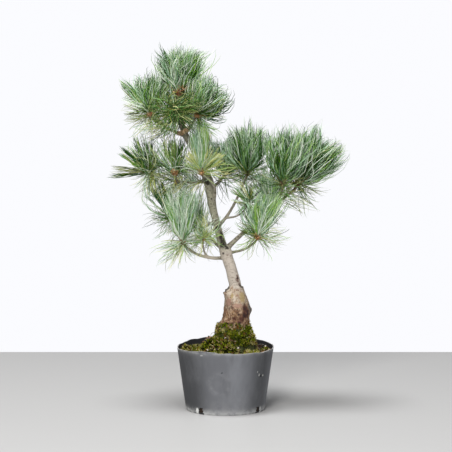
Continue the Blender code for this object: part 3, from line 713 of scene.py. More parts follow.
def shape_bark(wood):
    mesh = wood.data
    points, normals = mesh_rows(mesh, "co"), mesh_rows(mesh, "normal")
    stock_line = [(Vector((x, y, z)), r) for z, x, y, r in STOCK]
    to_stock = stretch_gaps(points, *line_arrays(stock_line))
    to_scion = stretch_gaps(points, *line_arrays(scion_line(RELIEF_RINGS)))
    to_bough = np.full(len(points), 9.0)
    for bough in BOUGHS:
        to_bough = np.minimum(to_bough, stretch_gaps(points, *line_arrays(LINES[bough.name])))
    ragged = noise_at(points, 150)
    height = points[:, 2] + 0.006 * ragged + 0.002 * noise_at(points, 420)
    stock = smooth_step(-0.0016, 0.0016, np.minimum(to_scion, to_bough) - to_stock)
    stock = stock * smooth_step(GRAFT_TOP[1], GRAFT_TOP[0], height)
    young = smooth_step(-0.0008, 0.0008, to_scion - to_bough) * (1 - stock)
    fresh = smooth_step(*FRESH_FROM, height)
    values = {"stock": stock, "young": young, "fresh": fresh}
    shift, crack, tint = (np.zeros(len(points)) for _ in range(3))
    on = stock > 0.01
    shift[on], crack[on], tint[on] = stock_relief(points[on], (stock * (1 - 0.7 * fresh))[on])
    shift *= stock
    off = stock < 0.99
    shift[off] += (1 - stock[off]) * thin_bark_relief(points[off], young[off])
    scar = np.zeros(len(points))
    for x, y, z, size, depth in map(metres, SCARS):
        apart = np.linalg.norm((points - (x, y, z)) / (1, 1, 0.8), axis=1)
        bowl = np.exp(-(apart / size) ** 4 * 1.4)
        lip = np.exp(-((apart - size * 1.25) / (size * 0.35)) ** 2)
        shift += depth * (0.6 * lip - bowl)
        scar = np.maximum(scar, bowl)
    for place, rise, reach in ((LEDGE, LEDGE_RISE, LEDGE_REACH),
                               (LEDGE_TOP, LEDGE_TOP_RISE, LEDGE_TOP_REACH)):
        apart = np.linalg.norm((points - np.array(place)) / (1, 1.7, 0.42), axis=1)
        shift += rise * np.exp(-(apart / reach) ** 2)
    warped = points + ZONE_WANDER * noise_at(points, 330, noise.noise_vector)
    for name, zones in ZONES.items():
        values[name] = zone_values(warped, zones)
    values["crack"], values["tint"], values["scar"] = crack, tint, scar
    over_moss = points[:, 2] - MOSS_LINE - 0.006 * ragged
    values["mossy"] = smooth_step(MOSS_FADE, -MOSS_FADE, over_moss) * stock
    values["upper"] = smooth_step(*UPPER_FROM, height) * (1 - stock)
    mesh.vertices.foreach_set("co", (points + normals * shift[:, None]).ravel())
    keep_values(mesh, values)
    mesh.shade_smooth()


shape_bark(wood)
print("bark shaped:", len(wood.data.vertices), "points")

# %% the bark's colours
RED_FLAKE = (0.205, 0.105, 0.056)
PALE_FLAKE = (0.52, 0.365, 0.245)
CRACK_BROWN_AND_SHADE = (0.055, 0.030, 0.020)
GRAFT_BEIGE = (0.52, 0.42, 0.31)
GRAFT_RED = (0.33, 0.19, 0.12)
SCION_BEIGE = (0.55, 0.485, 0.415)
SCION_BROWN = (0.285, 0.235, 0.19)
UPPER_GREY = (0.33, 0.315, 0.235)
UPPER_DARK = (0.11, 0.10, 0.07)
BOUGH_GREY = (0.34, 0.31, 0.245)
BOUGH_BROWN = (0.12, 0.10, 0.07)
SCAR_BLACK = (0.030, 0.022, 0.018)
BARK_MOSS = (0.045, 0.055, 0.010)
# The two dark red colours are the rootstock's own bark, and on its right side also painted shade.
ZONE_COLOURS = {"dark_red": (0.085, 0.030, 0.018), "wine": (0.036, 0.013, 0.011),
                "grey_flake": (0.155, 0.14, 0.125),
                "pale_ridge": (0.60, 0.51, 0.41), "brown_rub": (0.15, 0.085, 0.065),
                "pink": (0.38, 0.23, 0.17), "olive": (0.40, 0.30, 0.15),
                "pale_bough": (0.48, 0.42, 0.34),
                # Painted shade in the forks and the graft's crease.
                "black": (0.034, 0.028, 0.020)}


def bark_material():
    bark = plain_material("bark", PALE_FLAKE, 0.88)
    flakes = mix_colour(bark, "tint", RED_FLAKE, PALE_FLAKE)
    flakes = add_blotches(bark, flakes, (0.34, 0.205, 0.10), 260, 0.62, 0.25)
    graft = add_blotches(bark, GRAFT_BEIGE, GRAFT_RED, 330, 0.60, 0.16, (1, 1, 0.7))
    graft = add_blotches(bark, graft, CRACK_BROWN_AND_SHADE, 520, 0.36, 0.08)
    graft = add_blotches(bark, graft, (0.66, 0.57, 0.46), 640, 0.40, 0.12)
    stock = mix_colour(bark, "fresh", flakes, graft)
    stock = add_blotches(bark, stock, CRACK_BROWN_AND_SHADE, 620, 0.34, 0.08)
    # Deep cracks turn dark brown: their own darker bark, with painted shade.
    stock = mix_colour(bark, "crack", stock, CRACK_BROWN_AND_SHADE)
    scion = add_blotches(bark, SCION_BEIGE, SCION_BROWN, 330, 0.50, 0.2, (1, 1, 1.8))
    scion = add_blotches(bark, scion, (0.16, 0.11, 0.085), 700, 0.30, 0.12, (1, 1, 2.5))
    upper = add_blotches(bark, UPPER_GREY, UPPER_DARK, 330, 0.52, 0.2, (1, 1, 1.6))
    scion = mix_colour(bark, "upper", scion, upper)
    bough = add_blotches(bark, BOUGH_GREY, BOUGH_BROWN, 380, 0.62, 0.2)
    scion = mix_colour(bark, "young", scion, bough)
    whole = mix_colour(bark, "stock", scion, stock)
    for name, colour in ZONE_COLOURS.items():
        spotted = add_blotches(bark, whole, colour, 520, 1.15, 0.25)
        whole = mix_colour(bark, name, whole, spotted)
    whole = mix_colour(bark, "scar", whole, SCAR_BLACK)
    whole = mix_colour(bark, "mossy", whole, BARK_MOSS)
    set_colour(bark, whole)
    add_relief(bark, 1500, 0.00035, coarse=0.4)
    return bark


BARK = bark_material()
wood.data.materials.clear()
wood.data.materials.append(BARK)
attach(wood, "root")
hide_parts("trunk", *[f"bough_{bough.name}" for bough in BOUGHS])
print("bark on", wood.name)

# %% [markdown]
# ## Shoots
# Every mass of needles grows from the tip of its limb: a short stem, then a whorl of shoots, one
# straight on and the others leaning out. The draws are the model's own, so a shoot here lies in
# the shoot of the solid. Papery orange-brown scales of old buds stay round the foot of each
# whorl, and they are what glows at the foot of the tufts.

# %% shoots and bud scales
Mass = namedtuple("Mass", "name limb heading rise stem shoots fan shoot needle skirt")
MASSES = [Mass(*row) for row in (
    ("apex_top", "trunk", 0, 82, 0.006, 4, 40, 0.019, 0.048, 2),
    ("apex_left", "top_left", 10, 80, 0.004, 3, 36, 0.014, 0.045, 3),
    ("apex_right", "top_right", 10, 70, 0.004, 3, 38, 0.014, 0.046, 3),
    ("apex_front", "top_front", 262, 38, 0.005, 3, 44, 0.014, 0.044, 3),
    ("apex_back", "top_back", 84, 44, 0.005, 3, 42, 0.015, 0.046, 2),
    ("mid_left_out", "mid_left", 190, 14, 0.004, 3, 46, 0.012, 0.044, 3),
    ("mid_left_in", "mid_left_up", 190, 76, 0.004, 3, 44, 0.014, 0.049, 3),
    ("centre", "centre", 280, 80, 0.004, 3, 26, 0.012, 0.05, 3),
    ("centre_back", "centre_back", 70, 52, 0.005, 3, 42, 0.016, 0.048, 2),
    ("mid_right", "mid_right", 10, 86, 0.005, 4, 38, 0.02, 0.051, 3),
    ("right_up", "right_up", 200, 89, 0.006, 3, 34, 0.033, 0.051, 2),
    ("right_out", "right", 8, 66, 0.012, 4, 40, 0.032, 0.052, 3),
    ("right_back", "right_back", 80, 56, 0.006, 3, 42, 0.016, 0.048, 3),
    ("low_right", "low_right", 330, 84, 0.004, 3, 34, 0.011, 0.046, 4),
    ("inner_right", "inner_right", 300, 50, 0.004, 1, 30, 0.01, 0.028, 2),
    ("low_left", "low_left", 225, 84, 0.004, 3, 32, 0.022, 0.047, 4),
    ("left", "left", 45, 72, 0.004, 3, 34, 0.012, 0.043, 3),
    ("inner_left", "inner_left", 320, 76, 0.004, 1, 30, 0.008, 0.03, 2),
    ("low_back", "low_back", 150, 36, 0.006, 3, 44, 0.016, 0.046, 3),
)]
GAP = 0.0003
SHOOT_RADIUS = 0.0017
SHOOT_TURN_SCATTER = 0.2
SHOOT_LEAN_SCATTER = (0.85, 1.15)
SIDE_SHOOT_LENGTH = (0.75, 0.95)
SPACE_MARGIN = 0.0008
SPACE_SHARE = 0.6
GOLDEN_ANGLE = math.radians(137.508)
STEM_OVERLAP = 0.0015  # how far a stem starts inside its limb
STEM_CAP = 0.0012
TWIG_SIDES = 8
TWIG_RING_GAP = 0.0016
KNOB_DEPTH = 0.13  # of a shoot's radius
SHOOT_TAPER = 0.0006
SCALES_PER_WHORL = 44
SCALE_LENGTH = (0.0028, 0.0060)
SCALE_WIDTH = 0.0021
SCALE_THICK = 0.00012
SCALE_CUP = 0.16  # how far a scale's middle stands out, by its length
SCALE_LIFT = (8, 62)  # degrees from the shoot
SCALE_ALONG = (-0.0016, 0.0024)
SCALE_SPREAD = (0.9, 1.7)  # how far out scales stand, in radii of the shoot
OLD_WHORLS = (  # limb, share of its length, radius, scales
    ("trunk", 0.825, 0.0060, 150), ("mid_left", 0.55, 0.0022, 34),
)
SHOWN_BUDS = {  # masses whose buds the grower bared, and how wide; the others' are small
    "apex_top": 0.0028, "apex_left": 0.0040, "apex_right": 0.0044,
    "mid_left_in": 0.0034, "centre": 0.0030, "low_right": 0.0024,
}
FEWER_SCALES = 14
SIDE_BUDS = (("apex_top", 4, 0.80), ("apex_top", 3, 0.30))  # shoot, share of it


def direction(heading, rise):
    heading, rise = math.radians(heading), math.radians(rise)
    return Vector((
        math.cos(rise) * math.cos(heading), math.cos(rise) * math.sin(heading), math.sin(rise)))


def leaning(axis, lean, turn):
    """The direction that leans from an axis by an angle, turned round it by another."""
    side = axis.orthogonal().normalized()
    side.rotate(Matrix.Rotation(turn, 3, axis))
    return (axis * math.cos(lean) + side * math.sin(lean)).normalized()


class Limbs:
    """Every stretch of trunk and bough, for the gaps between it and rows of needles."""

    def __init__(self, lines):
        stretches = [
            (a, b, max(ra, rb))
            for line in lines.values()
            for (a, ra), (b, rb) in zip(line, line[1:])
        ]
        self.starts = np.array([a for a, _, _ in stretches])
        self.ends = np.array([b for _, b, _ in stretches])
        self.radii = np.array([r for _, _, r in stretches])

    def gaps(self, starts, ends):
        """For each line, its least distance to the skin of a limb."""
        least = np.full(len(starts), 9.0)
        d1 = ends - starts
        a = (d1 * d1).sum(1)
        for low, high, radius in zip(self.starts, self.ends, self.radii):
            d2, r = high - low, starts - low
            e, b, c, f = d2 @ d2, d1 @ d2, (d1 * r).sum(1), r @ d2
            below = a * e - b * b
            s = np.where(below > 1e-15, (b * f - c * e) / np.maximum(below, 1e-15), 0)
            t = np.clip((b * np.clip(s, 0, 1) + f) / e, 0, 1)
            s = np.clip((b * t - c) / a, 0, 1)
            near = starts + s[:, None] * d1 - (low + t[:, None] * d2)
            least = np.minimum(least, np.linalg.norm(near, axis=1) - radius)
        return least


class Space:
    """The room that a mass keeps to: its own side of a plane against each other mass."""

    def __init__(self, centre, reach, others):
        normals, limits = [], []
        for other, other_reach in others:
            apart = (other - centre).length
            normal = (other - centre) / apart
            offset = (apart**2 + reach**2 - other_reach**2) / (2 * apart)
            normals.append(normal)
            limits.append(normal.dot(centre) + offset)
        self.normals, self.limits = np.array(normals), np.array(limits)

    def rooms(self, starts, ways, lengths, give=0.0):
        """How far each line may go, up to its length, or give beyond the plane."""
        left = self.limits - SPACE_MARGIN + give - starts @ self.normals.T
        speed = ways @ self.normals.T
        free = np.where(speed > 1e-9, left / np.maximum(speed, 1e-9), 9.0)
        free = np.where(left <= 0, 0, free)
        return np.clip(free.min(1), 0, lengths)


LIMBS = Limbs(LINES)


def spaces_of_masses():
    cells = {}
    for mass in MASSES:
        tip = LINES[mass.limb][-1][0]
        heart = tip + direction(mass.heading, mass.rise) * (mass.stem + mass.shoot)
        cells[mass.name] = (heart, mass.needle * SPACE_SHARE)
    return {name: Space(*cell, [other for key, other in cells.items() if key != name])
            for name, cell in cells.items()}


SPACES = spaces_of_masses()


def shoots_of(mass):
    """The mass's start, bend and whorl, its axis, and each shoot's direction and length."""
    rng = random.Random(f"{SEED} needles_{mass.name}")
    (before, _), (tip, radius) = LINES[mass.limb][-2:]
    along = (tip - before).normalized()
    axis = direction(mass.heading, mass.rise)
    start = tip + along * GAP
    bend = start + along * (mass.stem / 2)
    whorl = bend + axis * (mass.stem / 2)
    ways = [(axis, 1.0)]
    for i in range(mass.shoots):
        scatter = rng.uniform(-SHOOT_TURN_SCATTER, SHOOT_TURN_SCATTER)
        turn = 2 * math.pi * (i + scatter) / mass.shoots
        lean = math.radians(mass.fan) * rng.uniform(*SHOOT_LEAN_SCATTER)
        ways.append((leaning(axis, lean, turn), rng.uniform(*SIDE_SHOOT_LENGTH)))
    shoots = []
    for way, share in ways:
        length = mass.shoot * share
        line = np.array([whorl]), np.array([way])
        if SPACES[mass.name].rooms(*line, np.array([length]))[0] < length:
            continue
        ends = np.array([whorl + way * SHOOT_RADIUS]), np.array([whorl + way * length])
        if LIMBS.gaps(*ends)[0] >= SHOOT_RADIUS:
            shoots.append((way, length))
    return (tip - along * STEM_OVERLAP, radius), bend, whorl, axis, shoots


GROWTH = {mass.name: shoots_of(mass) for mass in MASSES}


def grow_twigs():
    """The stems and shoots of all masses, knobbly where needles sit."""
    parts = []
    for mass in MASSES:
        (start, radius), bend, whorl, axis, shoots = GROWTH[mass.name]
        stem = [(start, radius + 0.00005), (bend, radius * 1.02), (whorl, SHOOT_RADIUS * 1.15),
                (whorl + axis * STEM_CAP, SHOOT_RADIUS * 0.9)]
        parts.append(tube_skin(stem, TWIG_SIDES))
        for number, (way, length) in enumerate(shoots):
            line = []
            steps = max(6, int(length / TWIG_RING_GAP))
            for k in range(steps + 1):
                t = k / steps
                knob = 1 + KNOB_DEPTH * math.sin(k * 2.4 + number)
                radius_here = (SHOOT_RADIUS * 0.92 - SHOOT_TAPER * t) * knob
                if k == steps:
                    radius_here *= 0.35
                line.append((whorl + way * length * t, radius_here))
            parts.append(tube_skin(line, TWIG_SIDES))
    return merged(parts)


def scale_leaf(place, way, normal, length, width):
    """A papery scale: a pointed, cupped flake of four faces, thick enough to have two sides."""
    side = way.cross(normal).normalized() * (width / 2)
    lift = normal * (length * SCALE_CUP)
    front = [place - side * 0.6, place + side * 0.6,
             place + way * length * 0.5 + side + lift, place + way * length * 0.5 - side + lift,
             place + way * length + lift * 1.6]
    back = [point - normal * SCALE_THICK for point in front]
    points = [tuple(p) for p in front + back]
    faces = [(0, 1, 2), (0, 2, 3), (3, 2, 4), (6, 5, 7), (7, 5, 8), (7, 8, 9),
             (0, 5, 6), (0, 6, 1), (1, 6, 7), (1, 7, 2), (2, 7, 9), (2, 9, 4), (4, 9, 8),
             (4, 8, 3), (3, 8, 5), (3, 5, 0)]
    return np.array(points), np.array(faces)


def on_shoot(name, number, share):
    """The place at a share of one of a mass's shoots."""
    _, _, whorl, _, shoots = GROWTH[name]
    way, length = shoots[number]
    return whorl + way * length * share


def grow_scales():
    rng = random.Random(SEED + 1)
    parts, kinds = [], []
    for mass in MASSES:
        _, _, whorl, axis, shoots = GROWTH[mass.name]
        shown = mass.name in SHOWN_BUDS
        count = SCALES_PER_WHORL if shown else FEWER_SCALES
        feet = [(whorl - axis * 0.0015, axis, SHOOT_RADIUS * 1.1, count)]
        feet += [(whorl + way * 0.0022, way, SHOOT_RADIUS * 0.95, count // 3) for way, _ in shoots]
        feet += [(on_shoot(*bud), shoots[bud[1]][0], SHOOT_RADIUS * 1.2, SCALES_PER_WHORL)
                 for bud in SIDE_BUDS if bud[0] == mass.name]
        if mass is MASSES[0]:
            feet += [(point_along(LINES[limb], share),
                      (point_along(LINES[limb], share) - point_along(LINES[limb], share - 0.04))
                      .normalized(), radius, count) for limb, share, radius, count in OLD_WHORLS]
        for place, way, radius, count in feet:
            for i in range(count):
                out = leaning(way, math.pi / 2, i * GOLDEN_ANGLE + rng.uniform(-0.2, 0.2))
                stand = radius * 0.8 * rng.uniform(*SCALE_SPREAD)
                foot = place + out * stand + way * rng.uniform(*SCALE_ALONG)
                lift = math.radians(rng.uniform(*SCALE_LIFT))
                tilt = (way * math.cos(lift) + out * math.sin(lift)).normalized()
                normal = (out - tilt * out.dot(tilt)).normalized()
                part = scale_leaf(foot, tilt, normal, rng.uniform(*SCALE_LENGTH),
                                  SCALE_WIDTH * rng.uniform(0.8, 1.2))
                parts.append(part)
                dealt = (0, 2, 2, 2) if radius > 0.004 else (0, 0, 1, 2) if shown else (3, 3, 3, 1)
                kinds += [rng.choice(dealt)] * len(part[1])
    return (*merged(parts), kinds)


TWIG_BARK = plain_material("twig_bark", (0.21, 0.155, 0.085), 0.8)
add_relief(TWIG_BARK, 1400, 0.0003)
SCALE_COLOURS = material_kinds("scale", (
    ("orange", 0.78, 0.45, 0.22, 0.7), ("brown", 0.48, 0.25, 0.12, 0.75),
    ("tan", 0.95, 0.72, 0.47, 0.7), ("dark", 0.17, 0.11, 0.055, 0.75),
), 2600, 0.00015, (1, 1, 0.3))
twig_points, twig_faces = grow_twigs()
joined("twigs", twig_points, twig_faces, [TWIG_BARK], sharp=60)
scale_points, scale_faces, scale_kinds = grow_scales()
joined("bud_scales", scale_points, scale_faces, SCALE_COLOURS, scale_kinds)
print("twigs:", len(twig_faces), "bud scales:", len(scale_faces))

# %% [markdown]
# ## Needles
# White pine needles grow in fives from one point. Each is about 45 mm long and under 1 mm wide,
# three-sided, green on its outer face and bluish white on the two inner ones, and that is why a
# tuft glitters between green and silver. Cards with a picture of needles would look flat from
# the side, so every needle is a mesh of its own, three faces round, tapering and slightly bent
# in towards the shoot. Fives follow the golden angle up each shoot and lean less towards its
# tip, by the solid's rule. Old, yellower needles droop round the foot of each whorl. Colours are
# plain, dealt out five by five. The palest kind, light on both faces, also paints highlights,
# and a nearly black green kind paints the shade inside the tufts.

# %% needle colours
NEEDLE_KINDS = (  # name, outer face, inner faces
    # Pale on both faces: the pine's bluish bloom, brightened as a painted highlight.
    ("silver", (0.38, 0.53, 0.34), (0.86, 0.94, 0.80)),
    ("blue_green", (0.115, 0.265, 0.125), (0.46, 0.66, 0.46)),
    ("mid_green", (0.070, 0.21, 0.024), (0.28, 0.48, 0.165)),
    # Nearly black: a deep green, darkened as painted shade for the inside of the tufts.
    ("deep_green", (0.007, 0.038, 0.002), (0.030, 0.100, 0.009)),
    ("bright_green", (0.20, 0.42, 0.030), (0.45, 0.65, 0.20)),
    ("yellow_green", (0.50, 0.54, 0.12), (0.78, 0.80, 0.38)),
    ("olive", (0.120, 0.150, 0.032), (0.36, 0.40, 0.17)),
    ("straw", (0.50, 0.40, 0.17), (0.60, 0.52, 0.28)),
)
NEW_MIX = (20, 17, 20, 30, 8, 1, 4, 0)
OLD_MIX = (2, 6, 20, 24, 4, 7, 37, 0)
MIXES = {  # percent of each kind, for masses that differ from the rest
    "apex_top": (36, 17, 15, 22, 8, 0, 2, 0),
    "apex_front": (1, 3, 14, 46, 1, 3, 32, 0),
    "centre": (36, 26, 12, 4, 17, 5, 0, 0),
    "mid_right": (33, 19, 13, 30, 5, 0, 0, 0),
    "mid_left_out": (12, 8, 20, 28, 6, 8, 18, 0),
    "mid_left_in": (14, 10, 22, 26, 9, 5, 14, 0),
    "low_left": (56, 26, 8, 2, 8, 0, 0, 0),
    "low_right": (34, 26, 16, 8, 16, 0, 0, 0),
    "right_up": (25, 18, 17, 32, 5, 0, 3, 0),
    "right_out": (25, 18, 17, 32, 5, 0, 3, 0),
    "right_back": (46, 26, 12, 4, 10, 2, 0, 0),
    "low_back": (52, 24, 12, 2, 8, 2, 0, 0),
    "centre_back": (34, 26, 14, 20, 6, 0, 0, 0),
    "inner_right": (10, 8, 20, 30, 2, 4, 26, 0),
    "inner_left": (42, 8, 4, 0, 10, 28, 8, 0),
    "left": (10, 14, 22, 36, 6, 2, 10, 0),
}
OLD_MIXES = {  # the same for their old needles
    "apex_top": (4, 6, 20, 30, 2, 4, 32, 2),
    "apex_front": (3, 5, 16, 28, 2, 10, 36, 0),
    "apex_left": (3, 5, 14, 6, 8, 34, 30, 0),
    "apex_right": (26, 16, 20, 8, 10, 10, 10, 0),
    "mid_left_out": (14, 8, 14, 12, 6, 22, 22, 2),
    "mid_left_in": (16, 10, 14, 14, 6, 18, 20, 2),
    "right_back": (20, 16, 16, 4, 10, 14, 20, 0),
    "centre": (22, 4, 4, 0, 20, 46, 4, 0),
    "low_left": (26, 10, 10, 2, 8, 26, 18, 0),
    "inner_left": (34, 8, 6, 0, 12, 32, 8, 0),
}
OWN_KIND = 0.35  # share of needles that don't take their five's colour


def needle_materials():
    """An outer and an inner material of each kind: a waxy skin over a fine grain."""
    made = []
    for name, outer, inner in NEEDLE_KINDS:
        for side, colour, shine in (("outer", outer, 0.20), ("inner", inner, 0.10)):
            material = plain_material(f"needle_{name}_{side}", colour, 0.5,
                                      Specular_IOR_Level=shine)
            add_relief(material, 1800, 0.00008, stretch=(1, 1, 0.4))
            made.append(material)
    return made


NEEDLE_MATERIALS = needle_materials()
print("needle materials:", len(NEEDLE_MATERIALS))

# %% how the needles of each mass grow
NEEDLE_WIDTH = 0.00080
OLD_WIDTH = 0.00055
NEEDLE_DEPTH = 0.65  # of its width
NEEDLES_IN_FIVE = 5
WILD = (0.35, 1.1)  # how far new and old fives bend their own way
PARTING = (0.90, 1.05)  # length of a needle beside its five's
WIDEST_SPREAD = 0.6
WIDEST_CURL = 0.22
CREST = 10.4  # brings the crest of a wave, s (1 - s) (1 - 2 s), to 1
RINGS = (0.0, 0.2, 0.42, 0.64, 0.85)  # share of the length; the tip closes the last
RING_SIZES = (0.62, 0.95, 1.0, 0.92, 0.6)
LEAN_POWER = 0.75
LENGTHS = (0.72, 1.08)
LIMB_MARGIN = 0.0005
TURN_IN = 0.45  # how far a needle without room turns towards its shoot
SHORTEST_SHARE = 0.66

# lean at a shoot's foot and tip and its scatter in degrees, pull upwards and to the right, each
# five's bend, each needle's own bend and its wave as shares of its length, spread of a five in
# degrees, least fives of a shoot and how many more to its millimetre, how far neighbours wander
# together, fives of old needles for each spray of the solid's skirt, how level their tops are,
# their length, and how far they reach between their neighbours
Habit = namedtuple("Habit", "foot tip scatter lift sway bend curl wave spread fives dense flow "
                            "old level long give",
                   defaults=(44, 5, 8, 0.45, 0, (0.04, 0.13), 0.07, 0.024, 6, 12, 1.4, 0.30, 7, 0,
                             1.0, (0.002, 0.016)))
HABITS = {
    "apex_top": Habit(foot=54, tip=12, scatter=8, lift=1.2, bend=(0.08, 0.24), wave=0.03, fives=22,
        dense=1.6, flow=0.28, level=1.0, long=1.06, old=11),
    "apex_left": Habit(foot=42, scatter=7, lift=0.55, sway=-0.04, curl=0.09, wave=0.03, flow=0.4,
        old=12, fives=14, dense=1.0),
    "apex_right": Habit(foot=58, lift=0.24, sway=0.14, bend=(0.06, 0.22), curl=0.11, wave=0.03,
        flow=0.4, old=12, fives=15, dense=1.2),
    "apex_front": Habit(foot=100, tip=60, scatter=40, lift=-0.15, bend=(-0.14, 0.28), curl=0.24,
        wave=0.1, flow=1.4, spread=24, old=14, fives=4, dense=0.45, long=0.92),
    "apex_back": Habit(fives=12, dense=1.2, old=6),
    "mid_left_out": Habit(foot=40, tip=20, scatter=14, lift=1.25, bend=(0.0, 0.08), curl=0.08,
        fives=2, dense=0.3, flow=0.7, old=19),
    "mid_left_in": Habit(foot=44, tip=15, scatter=14, lift=0.55, bend=(0.0, 0.14), curl=0.12,
        wave=0.035, spread=10, fives=3, dense=0.42, flow=1.0, old=9),
    "centre": Habit(foot=14, tip=2, scatter=4, lift=0.8, bend=(-0.02, 0.04), curl=0.04, spread=3.5,
        fives=10, dense=1.2, flow=0.12, old=14, long=1.06),
    "centre_back": Habit(foot=36, fives=8, dense=0.9, old=4),
    "mid_right": Habit(foot=50, scatter=6, lift=0.5, bend=(0.15, 0.28), curl=0.04, wave=0.02,
        fives=15, dense=1.4, flow=0.25, old=10, level=0.5, give=(-0.002, 0.003)),
    "right_out": Habit(foot=40, lift=0.7, sway=0.18, bend=(0.04, 0.15), curl=0.09, wave=0.032,
        dense=1.4, flow=0.45, old=9, level=0.5, long=1.05),
    "right_up": Habit(foot=34, lift=0.75, sway=0.26, bend=(0.04, 0.14), curl=0.09, wave=0.035,
        dense=1.3, flow=0.45, old=9, level=0.6, give=(-0.002, 0.004)),
    "right_back": Habit(fives=4, dense=0.6, old=3, lift=0.7),
    "low_left": Habit(foot=20, tip=4, scatter=6, lift=0.95, sway=0.24, bend=(0.0, 0.08), curl=0.07,
        wave=0.045, fives=5, dense=0.7, flow=0.28, old=9, long=1.3, give=(0.004, 0.022)),
    "low_right": Habit(foot=26, tip=6, scatter=7, lift=0.65, sway=0.18, bend=(-0.02, 0.08),
        curl=0.08, wave=0.045, fives=8, dense=0.9, flow=0.35, old=8, long=1.28,
        give=(0.006, 0.022)),
    "low_back": Habit(foot=40, fives=4, dense=0.5, old=3),
    "left": Habit(foot=40, lift=0.65, curl=0.04, spread=4, fives=2, dense=0.35, old=8),
    "inner_right": Habit(foot=92, tip=30, lift=0.15, sway=-0.35, curl=0.03, bend=(0.0, 0.06),
        fives=5, dense=0.8, old=9, long=1.1),
    "inner_left": Habit(foot=88, tip=40, lift=0.2, sway=-0.42, scatter=14, bend=(0.0, 0.2),
        curl=0.19, wave=0.07, spread=16, flow=0.6, fives=7, dense=0.9, old=9, long=1.1),
}
BUNDLES = {  # way, fives, spread in degrees, share of length and of bend, colour or ""
    "apex_top": ((-0.62, -0.1, 0.8, 9, 7, 1.05, 1.2, "silver"),
        (-0.26, -0.15, 0.96, 9, 4, 0.98, 0.3, ""), (0.28, 0, 0.96, 9, 5, 1.02, 0.4, "silver"),
        (0.48, 0, 0.88, 8, 7, 1.02, 1, "blue_green")),
    "apex_left": ((-0.67, -0.12, 0.74, 10, 2.2, 1.3, 0.1, ""),
        (0.28, -0.1, 0.95, 9, 7, 1.2, 0.8, "silver"), (0.46, -0.15, 0.86, 8, 8, 1.1, 0.8, ""),
        (-0.86, -0.05, 0.3, 3, 9, 1, 2.6, "silver"), (-0.96, -0.1, -0.12, 2, 8, 0.9, 0.8, "olive")),
    "apex_right": ((0.75, -0.1, 0.6, 8, 7, 1.08, 1.5, ""),
        (-0.04, -0.1, 1, 9, 6, 1.15, 0.8, "silver"),
        (0.13, -0.15, 0.98, 7, 6, 1.2, 0.8, "blue_green"),
        (0.3, 0, 0.95, 7, 7, 1.15, 1.4, "silver")),
    "mid_left_out": ((-0.75, -0.1, 0.65, 7, 2.2, 1.14, 0.1, "deep_green"),
        (-0.86, 0, 0.5, 5, 2.2, 1.04, 0.1, ""), (-0.98, -0.1, 0.14, 4, 5, 1.15, 0.2, "olive"),
        (-0.98, 0.1, -0.15, 4, 2, 1.22, 0.1, "deep_green"),
        (0.02, -0.1, 1, 6, 4, 0.95, 0.3, "deep_green"), (-0.4, 0, 0.92, 4, 4, 1.15, 0.2, "")),
    "mid_left_in": ((0.34, -0.1, 0.94, 8, 5, 0.95, 0.8, "deep_green"),
        (-0.12, -0.2, 0.97, 6, 6, 0.9, 0.8, "")),
    "centre": ((0.62, -0.35, 0.66, 18, 15, 0.7, 1, "yellow_green"),
        (-0.58, -0.35, 0.72, 8, 14, 0.6, 1, "yellow_green"),
        (-0.14, -0.2, 0.98, 8, 3, 1.1, 0.3, "blue_green"),
        (0.1, -0.2, 0.98, 6, 3, 1.12, 0.3, "bright_green")),
    "mid_right": ((-0.42, 0, 0.9, 10, 6, 0.85, 1.2, "deep_green"),
        (-0.22, -0.2, 0.95, 6, 5, 0.95, 1.2, "deep_green")),
    "left": ((-0.52, -0.15, 0.84, 9, 3, 1.12, 0.3, ""),
        (-0.28, -0.15, 0.95, 6, 3, 1.1, 0.3, "deep_green"),
        (-0.75, 0.2, 0.62, 4, 6, 1.1, 1.6, "silver")),
    "low_left": ((-0.34, -0.2, 0.92, 6, 4, 0.9, 0.3, ""),
        (0.22, -0.1, 0.97, 7, 4, 0.98, 0.4, "blue_green"),
        (0.05, -0.2, 0.97, 6, 3, 0.72, 0.3, "bright_green")),
    "right_out": ((0.8, -0.1, 0.58, 9, 7, 1.22, 0.6, ""),
        (0.88, 0, 0.46, 6, 7, 1.22, 0.8, "silver"), (0.93, 0, 0.3, 5, 8, 1.05, 0.6, "")),
    "low_right": ((0.52, 0.05, 0.84, 10, 6, 1.12, 0.5, ""),
        (-0.05, -0.3, 0.95, 5, 4, 0.8, 0.3, "bright_green")),
}
FLOW_SIZE = 1.7
BUNDLE_LOOSE = 0.32
BUNDLE_GIVE = 0.016
BUNDLE_LENGTHS = (0.86, 1.0)
BUNDLE_FEET = (0.001, 0.005)
FIVES_FROM = 0.10  # the share of a shoot that stays bare
OLD_LEANS = (58, 142)
OLD_LEANS_OF = {"centre": (25, 88), "inner_left": (40, 130)}
OLD_LENGTHS = (0.55, 0.95)
OLD_SPREAD = 12
OLD_BEND = (-0.04, 0.10)
OLD_CURL = 0.085
OLD_WAVE = 0.024
OLD_SAG = (0.0, 0.12)
